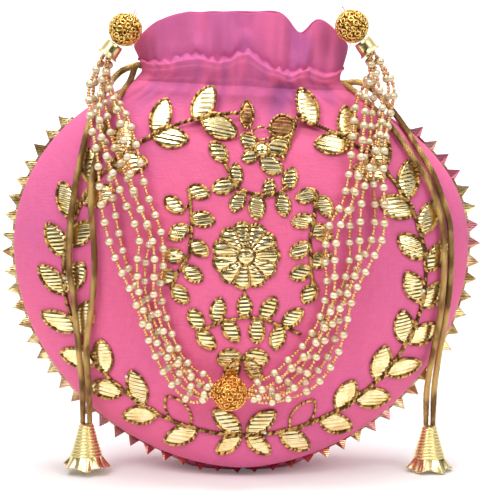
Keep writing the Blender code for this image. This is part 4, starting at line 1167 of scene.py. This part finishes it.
def wreath():
    petals_left = ((-0.6, 25, 137, 18, 9.5), (-0.6, 24, 220, 15, 8))
    petals_right = ((3.4, 25, 40, 18, 9.5), (3.4, 24, -42, 15, 8))
    left = half_wreath("wreath_left", -1, 0.02, (16, 13.5, 12, 42), (13.5, 16.5, 10, -38), petals_left, 11)
    left.leaf((3 * MM, 180.5 * MM), math.radians(90), 13.5 * MM, 6.5 * MM, dark=True)
    left.finish()
    right = half_wreath("wreath_right", 1, 0.32, (22.4, 13.3, 12, 42), (35.5, 16.2, 9, -38), petals_right, 12)
    right.leaf((26.5 * MM, 183.5 * MM), math.radians(200), 13 * MM, 11 * MM, dark=True)
    branch = ((28.5, 186.5), (26.5, 180), (23.5, 173), (21, 166))
    right.stem([(x * MM, z * MM) for x, z in branch], WREATH_STEM)
    right.finish()


def flowers():
    centre = Appliqué("flower_centre", "flower_centre", 21)
    folded_flower(centre, (2.5 * MM, 118 * MM), 16.2 * MM, 11, 0.9 * MM)
    button(centre, (2.5 * MM, 118 * MM), 4.4 * MM, FOIL_LIFT + 1.2 * MM)
    centre.finish()
    top = Appliqué("flower_top", "flower_top", 22)
    heart = Vector((10.5, 170.0))
    for dx, dz, length, width, degrees in ((-6.8, 4.8, 8.5, 7, 145), (-6.0, -3.0, 8, 6.5, 200),
                                           (8.2, 1.8, 12, 8.8, 12), (4.6, -7.4, 12.5, 8.6, -32)):
        angle = math.radians(degrees)
        middle = (heart + Vector((dx, dz))) * MM
        start = middle - Vector((math.cos(angle), math.sin(angle))) * length * MM / 2
        top.leaf(start, angle, length * MM, width * MM, thread=1.2 * MM)
    top.leaf((heart + Vector((-5.5, 8.0))) * MM, 0.0, 11 * MM, 6 * MM, filled=False, thread=FINE_OUTLINE)
    button(top, heart * MM, 3.4 * MM, FOIL_LIFT + 0.7 * MM)
    top.finish()


# Each spray: its seed, its stem's x and z, and each leaf's x, z, length, width and angle.
SPRAYS = {
    "spray_left": (
        31,
        ((-25.5, 147), (-24.5, 133), (-25.5, 123), (-26.5, 117), (-31.5, 109.5), (-35, 101)),
        ((-21, 149.5, 11, 7, -15), (-33.5, 143, 11, 7, -40), (-19, 136, 12, 7.5, -10),
         (-31, 129.5, 11, 7.5, 35), (-21, 121.5, 11, 7.5, -35), (-33.5, 117.5, 10, 7, 0),
         (-24, 108.5, 11, 7.5, -35), (-36.5, 107, 9, 7.5, 0), (-30.5, 98, 11, 7.5, -50)),
    ),
    "spray_right": (
        32,
        ((37, 149), (36.5, 135), (34.5, 126), (35, 120), (35, 114), (35.5, 107), (37, 101)),
        ((33, 147.5, 11, 7, 15), (42, 142, 12, 7.5, -60), (31, 135, 11, 7, 10), (40.5, 129, 12, 7.5, -35),
         (29.5, 120.5, 11, 7.5, 35), (40, 115.5, 11, 7.5, 30), (30, 109, 11, 7.5, 20),
         (34.5, 98.5, 11, 7.5, 60)),
    ),
    "spray_lower": (
        33,
        ((-20, 79.5), (-14.5, 82), (-10, 84), (-3, 85.5), (2, 86.5), (11, 85.5), (17.5, 83), (23.5, 80.5),
         (29.5, 77.5)),
        ((-22.5, 85, 12, 7.5, -65), (-17.5, 74.5, 12, 7.5, -45), (-11.5, 90, 13, 7.5, 80),
         (-5, 79.5, 13, 7.5, -60), (1.8, 92, 12, 7, 90), (8, 79.5, 13, 7.5, 90), (14, 91, 13, 7.5, 60),
         (18.5, 76, 13, 7.5, 75), (26, 86, 13, 7.5, 40)),
    ),
    "bow_lower": (
        34,
        ((-4, 64.8), (6, 64.8)),
        ((-5.6, 65, 12.5, 10, 0), (7.6, 65, 12.5, 10, 0), (-4.5, 58.5, 13, 7, 60), (6.5, 58.5, 13, 7, -60)),
    ),
    "spray_top": (
        35,
        ((-9, 165), (-5, 158), (-1.5, 152), (5, 149), (12.5, 147.5), (18.5, 149), (23, 152)),
        ((-11, 169, 12, 7.5, -50), (-8, 152.5, 13, 7.5, 15), (-2.5, 158, 11, 6.5, 95), (-1.5, 145, 11, 7, 60),
         (8, 142.5, 13, 8, 90), (14, 151.5, 9, 6, 80), (24.5, 156, 11, 7, 75), (21, 143.5, 12, 7, 100)),
    ),
}  # fmt: skip
LOWER_SPRAY_TIP = ((1.8 * MM, 98 * MM), (1.6 * MM, 101.5 * MM))


def sprays():
    for name, (seed, stem, leaves) in SPRAYS.items():
        work = spray(name, stem, leaves, seed)
        if name == "spray_lower":
            work.stem(LOWER_SPRAY_TIP, TWIG)
        work.finish()


def vine_crystals():
    """Small cut stones where leaves meet the vine."""
    shape = ball_shape("stone", 8, 5)
    spots = []
    for x, z in ((-89, 104), (-58, 54), (12, 25.5), (92.5, 97)):
        centre, normal = on_cloth(x * MM, z * MM, 1.5 * MM)
        spots.append((centre, facing_matrix(Vector((1, 0, 0)), normal), UNIT * 1.8 * MM))
    laid("vine_crystals", shape, spots, CRYSTAL, "bag", "wreath_left", smooth_faces=False)


# Handle


LEFT_ROUTE = (
    (-68.0, 216.0, 6), (-70.0, 206.5, 11), (-70.2, 197, 18.5), (-66.4, 184, 16), (-62.4, 170, 14),
    (-57.0, 148, 9.5), (-50.6, 128, 7), (-49.5, 114, 7), (-47.5, 98, 7), (-41.8, 80, 7),
    (-35.0, 66, 7.2), (-28.0, 56, 8), (-20.0, 50, 10),
)  # fmt: skip
RIGHT_ROUTE = (
    (65.6, 217.6, 6), (68.6, 208, 10), (69.0, 199, 13.5), (67.0, 188, 14), (64.5, 174, 12),
    (61.5, 158, 9), (59.5, 143, 7), (56.5, 129, 7), (53.5, 114, 7), (49.8, 100, 7),
    (45.5, 86, 7), (39.5, 71, 7), (30.0, 58, 7.2), (19.0, 50.5, 8), (9.0, 48.5, 10),
)  # fmt: skip
LEFT_SPREAD = (2.0, 3.0, 4.3, 6.6, 9.6, 11.6, 10.2, 7.4, 4.8, 5.6, 5.6, 4.8, 4.6)
RIGHT_SPREAD = (2.0, 3.4, 5.4, 6.8, 7.6, 8.4, 8.2, 9.2, 8, 6.6, 6.4, 6, 6, 5.4, 4.6)


def resting(points, hang):
    """Route points of x, z and stand-off in millimetres, laid on the front or hanging clear of it."""
    laid_out = []
    for x, z, off in points:
        y = min(-hang, front_y(x * MM, z * MM) - off * MM)
        laid_out.append(Vector((x * MM, SEAM_Y + y, z * MM)))
    return laid_out


def facing(spot):
    """The way that cloth behind a spot faces, held within 45 degrees of straight ahead."""
    step = 4 * MM
    slopes = []
    for along_x, along_z in ((step, 0), (0, step)):
        ahead = front_y(spot.x + along_x, spot.z + along_z)
        behind = front_y(spot.x - along_x, spot.z - along_z)
        slopes.append(max(-1.0, min(1.0, (ahead - behind) / (2 * step))))
    return Vector((slopes[0], -1, slopes[1])).normalized()


def cap_axis(side):
    return Vector((-side * 0.57, 0.07, 0.81)).normalized()


def cap_mouth(side):
    return resting([(LEFT_ROUTE if side < 0 else RIGHT_ROUTE)[0]], HANDLE_HANG)[0]


def ball_centre(side):
    return cap_mouth(side) + cap_axis(side) * (CAP_LENGTH + CLEARANCE + BALL_DIAMETER / 2)


def bead_centre():
    x, z = BEAD_PLACE
    return Vector((x, SEAM_Y + front_y(x, z) - BEAD_OUT, z))


def strand_half(side, number):
    """Centre points of one strand from inside the cap to inside the centre bead."""
    route = LEFT_ROUTE if side < 0 else RIGHT_ROUTE
    spread = LEFT_SPREAD if side < 0 else RIGHT_SPREAD
    column, layer = number % 3 - 1, number // 3
    turn = math.radians(90 - 60 * column) * (1 if layer else -1)
    tight = Vector((THREAD_RING * math.cos(turn), THREAD_RING * math.sin(turn)))
    middle = resting(route, HANDLE_HANG)
    inside_cap = cap_mouth(side) + cap_axis(side) * (CAP_LENGTH - CAP_WALL - 2 * CLEARANCE - 2 * MM)
    bead = bead_centre()
    bore = Vector((side * CENTRE_BEAD_DIAMETER, 0, 0))
    middle = [inside_cap, cap_mouth(side), *middle[1:]]
    spreads = [0, 0, *spread[1:]]
    middle += [bead + bore * 0.56, bead + bore * 0.4, bead]
    spreads += [0, 0, 0]
    points = []
    for k, spot in enumerate(middle):
        along = (middle[min(k + 1, len(middle) - 1)] - middle[max(k - 1, 0)]).normalized()
        normal = facing(spot) if spreads[k] else Vector((0, -1, 0))
        across = along.cross(normal).normalized() * -side
        outward = (across.cross(along) * -side).normalized()
        shift = tight
        if spreads[k]:
            sway = 0.32 * math.sin(1.3 * k + 2.1 * number) + (0.28 if layer else -0.14)
            lean = 0.5 * MM * math.sin(1.9 * k + 1.7 * number)
            shift = Vector(((column + sway) * spreads[k] * MM, (LAYER if layer else -LAYER) + lean))
        points.append(spot + across * shift.x + outward * shift.y)
    return points


def pearl_strands():
    """Six threads of pearls, with three seed beads between each pair of pearls."""
    bead, mouths = bead_centre(), [cap_mouth(side) for side in (-1, 1)]
    for number in range(STRANDS):
        rng = random.Random(70 + number)
        halves = [strand_half(side, number) for side in (-1, 1)]
        step = 0.5 * MM
        path = smooth_path(halves[0] + halves[1][-2::-1], step)
        pearls, seeds = [], []
        at = rng.uniform(0, PEARL_PITCH)
        while at < (len(path) - 2) * step:
            pitch = PEARL_PITCH * rng.uniform(0.9, 1.1)
            marks = [(at, True)] + [(at + pitch * share, False) for share in (0.32, 0.5, 0.68)]
            for mark, is_pearl in marks:
                k = min(len(path) - 2, int(mark / step))
                spot = path[k]
                near_end = min((spot - m).length for m in mouths)
                in_bead = (spot - bead).length < CENTRE_BEAD_DIAMETER / 2 - 1 * MM
                if in_bead or spot.z > mouths[0].z + 4 * MM:
                    continue
                turn = facing_matrix(path[k + 1] - path[k], Vector((0, -1, 0)))
                if is_pearl and near_end > 4.5 * MM:
                    pearls.append((spot, turn, UNIT * PEARL_DIAMETER))
                else:
                    seeds.append((spot, turn, UNIT * SEED_DIAMETER))
            at += pitch
        node = f"pearl_strand_{number + 1}"
        laid(node + "_pearls", PEARL_SHAPE, pearls, PEARL, "handle", node, spread=0.06, seed=number)
        laid(node + "_seeds", SEED_SHAPE, seeds, SEED, "handle", node, spread=0.12, seed=number)
        tube(node + "_thread", smooth_path(path, 2 * MM), 0.45 * MM, NYLON, "handle", node, 6)


def even_spots(count):
    """Directions spread evenly over a ball."""
    golden = math.pi * (3 - math.sqrt(5))
    for k in range(count):
        height = 1 - 2 * (k + 0.5) / count
        reach = math.sqrt(1 - height * height)
        yield Vector((reach * math.cos(golden * k), reach * math.sin(golden * k), height))


def filigree_ball(name, node, centre, diameter, bright, hollow, seed):
    """A wirework bead: rings and grains of wire over a dark core, painted shade for the hollow inside."""
    rng = random.Random(seed)
    radius = diameter / 2
    core = []
    for k in range(1, 24):
        turn = math.pi * k / 24
        core.append((radius * 0.88 * math.sin(turn), radius * 0.88 * math.cos(turn)))
    inner = [(max(0.2 * MM, r * 0.9), h * 0.9) for r, h in core[::-1]]
    # The core's darker finish is painted shade for the hollow inside the wirework.
    spun(name + "_core", core + inner, 32, hollow, "handle", node, centre)
    rings, grains = [], []
    for direction in even_spots(64):
        side = direction.orthogonal()
        turn = facing_matrix(side, direction) @ Matrix.Rotation(rng.uniform(0, 6), 3, "Z")
        size = Vector((rng.uniform(3.4, 4.2), rng.uniform(2.6, 3.4), 3.0)) * MM
        rings.append((centre + direction * radius * 0.955, turn, size))
    for direction in even_spots(230):
        scatter = Vector((rng.uniform(-1, 1), rng.uniform(-1, 1), rng.uniform(-1, 1)))
        wobble = (direction + scatter * 0.09).normalized()
        size = UNIT * rng.uniform(0.7, 1.35) * MM
        grains.append((centre + wobble * radius * 0.945, facing_matrix(wobble.orthogonal(), wobble), size))
    laid(name + "_rings", ring_shape("wire_ring", 0.13), rings, bright, "handle", node, seed=seed)
    laid(name + "_grains", SEED_SHAPE, grains, bright, "handle", node, seed=seed)


def end_cap(name, node, side):
    """A plain bright barrel with a rolled lip at its mouth."""
    length = CAP_LENGTH
    outside = [(4.1 * MM, length), (4.5 * MM, length - 0.4 * MM), (4.7 * MM, length * 0.75),
               (4.75 * MM, length * 0.4), (4.9 * MM, length * 0.16), (5.5 * MM, 0.7 * MM),
               (5.75 * MM, 0.35 * MM), (5.6 * MM, 0.0)]
    inside = [(5.1 * MM, 0.05 * MM), (4.3 * MM, length * 0.2), (4.1 * MM, length * 0.8),
              (1.2 * MM, length - 0.8 * MM), (1.2 * MM, length)]
    spun(name, outside + inside, 48, POLISHED, "handle", node, cap_mouth(side), cap_axis(side))


def hanging_thread(name, node, side):
    """The clear thread from the ball to the top corner of the side seam."""
    corner = wall_point(0.0 if side > 0 else math.pi, 2.0, FRONT)
    anchor = Vector((corner.x + side * 0.8 * MM, SEAM_Y, corner.z - 1.8 * MM))
    axis, ball = cap_axis(side), ball_centre(side)
    points = [ball + axis * (BALL_DIAMETER / 2 - 2.5 * MM), ball + axis * (BALL_DIAMETER / 2 + 1.5 * MM)]
    points.append(points[-1] + Vector((side * 0.6 * MM, 4.1 * MM, 2 * MM)))
    points.append(anchor + Vector((-side * 0.3 * MM, -5 * MM, 15.5 * MM)))
    points.append(anchor + Vector((side * 1.4 * MM, -2 * MM, 8.5 * MM)))
    points.append(anchor)
    tube(name, smooth_path(points, 0.8 * MM), 0.6 * MM, NYLON, "handle", node, 8)


def handle():
    pearl_strands()
    for side, word in ((-1, "left"), (1, "right")):
        filigree_ball(f"filigree_ball_{word}", f"end_ball_{word}", ball_centre(side), BALL_DIAMETER, FILIGREE,
                      HOLLOW_SHADE, 5 + side)
        end_cap(f"barrel_cap_{word}", f"end_cap_{word}", side)
        hanging_thread(f"hanging_thread_{word}", f"tie_{word}", side)
    filigree_ball("amber_bead", "centre_bead", bead_centre(), CENTRE_BEAD_DIAMETER, AMBER_GOLD,
                  AMBER_HOLLOW_SHADE, 8)


# Drawstrings


CORD_ROUTES = {
    "drawstring_left_outer": (
        (-58.5, 209.5, 3), (-66, 203, 4), (-72, 193.5, 5), (-76.5, 183.5, 4.8), (-79.5, 172, 4.6),
        (-82.6, 157, 4.4), (-85.4, 140, 4.4), (-87, 123, 4.4), (-87, 109, 4.4), (-84.8, 93, 4.4),
        (-83.5, 76, 4.6), (-82.5, 60, 4.8), (-81.9, 44, 4.8), (-81.9, 26.4, 2),
    ),
    "drawstring_left_inner": (
        (-56, 204, 4), (-61.2, 196.5, 3.6), (-66.5, 187, 4.4), (-70, 177, 4.4), (-72.8, 166, 4.4),
        (-75.2, 154, 4.4), (-75.4, 140, 4.4), (-74.2, 125, 4.4), (-73.8, 112, 4.4), (-74.6, 99, 4.4),
        (-76.5, 86, 4.4), (-78.6, 70, 5), (-78.4, 54, 6.5), (-78.3, 40, 7), (-78.3, 26.4, 2),
    ),
    "drawstring_right_inner": (
        (57, 198, 5), (65, 191.5, 4.2), (76.8, 179.6, 4.4), (86.4, 166.4, 4.4), (93.8, 155.6, 4.2),
        (98.7, 144.3, 4.2), (102.2, 133, 4.2), (103.4, 122.6, 4.2), (103.7, 110, 4.2), (103.4, 97, 4.2),
        (102.0, 82, 5.5), (99.6, 66, 6), (96.6, 44, 2), (96.2, 24.0, 2),
    ),
    "drawstring_right_outer": (
        (59, 202, 3), (69.2, 196.8, 3.6), (81.0, 183.2, 4.2), (90.0, 169.4, 4.4), (97.2, 157.4, 4.2),
        (102.1, 145.3, 4.2), (106.0, 133.2, 4.2), (107.2, 122.6, 4.2), (107.5, 109.7, 4.2), (107.0, 96, 4.2),
        (105.2, 80, 4.8), (102.8, 62, 10), (100.4, 44, 2), (99.8, 24.0, 2),
    ),
}  # fmt: skip


def slit_exit(side, height, run):
    """Where a drawstring leaves the slit at one side, on its front or its back run."""
    level = 1.25 + height / CHANNEL_HEIGHT / 2
    spot = wall_point(0.0 if side > 0 else math.pi, level, run)
    spot.y = SEAM_Y + run * (CORD_DIAMETER + CLEARANCE) / 2
    return spot


def free_cord(side, height, run, route):
    """Points of a free strand, out of its slit and then down over the front of the bag."""
    hang = CORD_HANG["left" if side < 0 else "right"]
    start = slit_exit(side, height, run)
    points = [start + Vector((side * CORD_DIAMETER, 0, 0))]
    for number, (x, z, off) in enumerate(route):
        y = front_y(x * MM, z * MM) - off * MM
        y = min(y, -hang) if z < 60 else y
        from_slit = start.y - SEAM_Y
        y = from_slit + (y - from_slit) * min(1.0, number / (1 if run == FRONT else 2))
        points.append(Vector((x * MM, SEAM_Y + y, z * MM)))
    return [start + Vector((side * CLEARANCE / 2, 0, 0)), *smooth_path(points, CORD_POINT_STEP)]


def held_cord(node, side, height):
    """The stretch of drawstring inside the channel, which follows the uneven gather line."""
    inset = 3.35 * MM
    level = 1.25 + height / CHANNEL_HEIGHT / 2
    start = 0.0 if side > 0 else math.pi
    turns = [start + (math.pi - 2 * start) * k / 22 for k in range(23)]
    front = [wall_point(turn, level, FRONT, inset + 1.2 * MM) for turn in turns]
    for turn, spot in zip(turns, front):
        spot.z += gather_shift(spot.x) * math.sin(turn) * 0.7
    back = [wall_point(turn, level, BACK, inset) for turn in turns[::-1]]
    inwards = Vector((-side, 0, 0))
    ends = []
    for run in (FRONT, BACK):
        outlet = slit_exit(side, height, run) + inwards * CLEARANCE / 2
        ends.append([outlet, outlet + inwards * CORD_DIAMETER * 1.4])
    points = smooth_path([ends[0][1], *front[2:], *back[:-2], ends[1][1]], 2 * MM)
    path = [ends[0][0], *points, ends[1][0]]
    tube(node + "_braid", path, CORD_DIAMETER - 0.4 * MM, BRAID, "bag", node, 12, braid_relief)


def braid_relief(turn, run):
    """Eight crossing strands of braid round the cord."""
    twist = 2 * math.pi * run / (7.2 * MM)
    crossing = max(math.cos(4 * turn + 4 * twist / 2), math.cos(4 * turn - 4 * twist / 2))
    return 0.13 * MM * (crossing - 0.6)


def pinched(share):
    """The strands are pressed thinner where the tassel's neck grips them."""
    return 1 - 0.2 * smooth((share - 0.93) / 0.07)


def tassel(word):
    """A cone wound with gold wire, with a ruffled foil skirt and a bound neck."""
    x, top = BELL_TOPS[word]
    side = -1 if word == "left" else 1
    place = Vector((x * MM, SEAM_Y - CORD_HANG[word], top * MM))
    cone = BELL_HEIGHT * 0.7
    outside = [(3.0 * MM, 0.0)]
    ribs = 10
    for k in range(ribs * 6 + 1):
        share = k / (ribs * 6)
        radius = 3.3 * MM + 4.6 * MM * share**1.1
        wire = 0.62 * MM * abs(math.sin(math.pi * ribs * share)) ** 0.8
        outside.append((radius + wire, -cone * share - 0.4 * MM))
    inside = [(7.0 * MM, -cone - 0.4 * MM), (2.6 * MM, -1.5 * MM), (2.4 * MM, 0.0)]
    spun(f"wound_cone_{word}", outside + inside, 48, POLISHED, "bag", f"bell_{word}", place)
    start, end = -cone * 0.94, -BELL_HEIGHT
    outer, steps = [], 12
    for k in range(steps + 1):
        share = k / steps
        outer.append((7.7 * MM + (BELL_RIM_RADIUS - 8.2 * MM) * share**1.4, start + (end - start) * share))
    inner = [(r - 0.35 * MM, h) for r, h in outer[::-1]]

    def ruffle(radius, height, turn):
        flare = max(0.0, (start - height) / (start - end))
        wave = math.cos(7 * turn + side)
        lift = height + (0.9 + 0.9 * math.cos(5 * turn + 2 * side)) * MM * flare
        return radius + (1.0 * wave + 0.5 * math.cos(13 * turn)) * MM * flare * 0.9, lift

    spun(f"tassel_skirt_{word}", outer + inner, 96, SKIRT_FOIL, "bag", f"bell_{word}", place, ruffle=ruffle)
    binding = []
    for k in range(3 * 22):
        turn = 2 * math.pi * k / 22
        out = Vector((math.cos(turn), math.sin(turn), 0))
        ahead = Vector((-math.sin(turn), math.cos(turn), 0))
        spot = place + out * 3.2 * MM + Vector((0, 0, -0.3 * MM - 0.042 * MM * k))
        lean = facing_matrix(ahead, out) @ Matrix.Rotation(0.5, 3, "Z")
        binding.append((spot, lean, Vector((1.4, 0.8, 0.8)) * MM))
    laid(f"tassel_binding_{word}", TWIST, binding, VINE_THREAD, "bag", f"bell_{word}", seed=3)
    return [f"wound_cone_{word}", f"tassel_skirt_{word}", f"tassel_binding_{word}"]


def drawstrings():
    for side, word in ((-1, "left"), (1, "right")):
        height = -side * CHANNEL_CORD_STEP
        on_cord = [bpy.data.objects[name] for name in tassel(word)]
        for run, run_word in ((FRONT, "inner"), (BACK, "outer")):
            node = f"drawstring_{word}_{run_word}"
            route = smooth_path(free_cord(side, height, run, CORD_ROUTES[node]), 0.8 * MM)
            made = tube(node + "_braid", route, CORD_DIAMETER, BRAID, "bag", node, 24, braid_relief,
                        pinched)
        held_cord(f"drawstring_{word}_channel", side, height)


# Studio


def studio_camera():
    """The photograph's view: level with the belly, 8 degrees down, from 1.2 m."""
    target = Vector((0, SEAM_Y, 114.4 * MM))
    distance, elevation, field = 1.2, math.radians(8), 0.25064
    data = bpy.data.cameras.new("camera")
    data.sensor_fit = "HORIZONTAL"
    data.sensor_width = 36
    data.lens = 36 * distance / field
    camera = placed("camera", data)
    camera.location = target + Vector((0, -math.cos(elevation), math.sin(elevation))) * distance
    camera.rotation_euler = (target - camera.location).to_track_quat("-Z", "Y").to_euler()
    bpy.context.scene.camera = camera


def studio_floor():
    """A white sweep: floor, curve and backdrop in one sheet. Near the camera it is near black to every ray
    but the camera's, a painted dark reflection for the metal.
    """
    profile = [(-4.0, 0.0), (2.6, 0.0)]
    for k in range(1, 13):
        turn = math.pi / 2 * k / 12
        profile.append((2.6 + 0.6 * math.sin(turn), 0.6 - 0.6 * math.cos(turn)))
    profile.append((3.2, 4.0))
    vertices = [(x, y, z) for y, z in profile for x in (-4, 4)]
    mesh = mesh_of("sweep", vertices, row_faces(len(profile), 2))
    mesh.polygons.foreach_set("use_smooth", [True] * len(mesh.polygons))
    sweep = placed("sweep", mesh)
    white = Finish("white_sweep", (0.86, 0.85, 0.85), 0.8)
    white.set("Specular IOR Level", 0.1)
    white.set("Emission Color", (1, 1, 1, 1))
    rays = white.node("ShaderNodeLightPath").outputs
    seen = white.combined(rays["Is Camera Ray"], rays["Is Transmission Ray"], "MAXIMUM")
    seen = white.combined(seen, rays["Is Glossy Ray"], "MAXIMUM")
    spot = white.node("ShaderNodeSeparateXYZ", {"Vector": white.place()}).outputs["Y"]
    glow = white.combined(seen, white.between(spot, 0.2, 1.6, SWEEP_GLOW, FAR_GLOW), "MULTIPLY")
    white.tree.links.new(glow, white.shader.inputs["Emission Strength"])
    # Painted dark reflection: towards the camera the sweep turns near black for all but camera rays.
    near = white.between(spot, -0.55, -0.22)
    lit = white.combined(near, rays["Is Camera Ray"], "MAXIMUM")
    white.colour(white.mix(lit, (0.05, 0.04, 0.035), (0.86, 0.85, 0.85)))
    mesh.materials.append(white.material)


def studio_light():
    """A pale room, dark low down and bright overhead, with a wide soft lamp on each side and one above."""
    world = bpy.data.worlds.new("studio")
    bpy.context.scene.world = world
    world.use_nodes = True
    tree = world.node_tree
    way = add_node(tree, "ShaderNodeTexCoord").outputs["Generated"]
    split = add_node(tree, "ShaderNodeSeparateXYZ", {"Vector": way})
    rise = add_node(tree, "ShaderNodeValToRGB", {"Fac": split.outputs["Z"]})
    ramp = rise.color_ramp
    ramp.elements[0].position, ramp.elements[0].color = 0.0, (0.05, 0.045, 0.04, 1)
    ramp.elements[1].position, ramp.elements[1].color = 1.0, (1.0, 1.0, 1.0, 1)
    for position, level in ((0.3, 0.06), (0.42, 0.5), (0.55, 0.9)):
        stop = ramp.elements.new(position)
        stop.color = (level, level * 0.97, level * 0.95, 1)
    background = tree.nodes["Background"]
    tree.links.new(rise.outputs["Color"], background.inputs["Color"])
    background.inputs["Strength"].default_value = 0.8
    lamps = (("key", (-0.7, -1.0, 1.25), 0.8, 12.0), ("fill", (0.9, -1.0, 0.95), 0.7, 6.0),
             ("top", (0.0, 0.1, 1.6), 0.7, 15.0))
    for name, place, size, power in lamps:
        data = bpy.data.lights.new(name, "AREA")
        data.shape = "SQUARE"
        data.size = size
        data.energy = power
        lamp = placed(name, data)
        lamp.location = place
        aim = Vector((0, 0, 0.1)) - lamp.location
        lamp.rotation_euler = aim.to_track_quat("-Z", "Y").to_euler()
    bpy.context.scene.view_settings.view_transform = "Standard"


studio_camera()
drawstrings()
cloth_panel("silk_front", FRONT, 150, "front_panel")
cloth_panel("silk_back", BACK, 120, "back_panel")
bag_lining()
zigzag_edging()
wreath()
flowers()
sprays()
vine_crystals()
handle()
studio_floor()
studio_light()
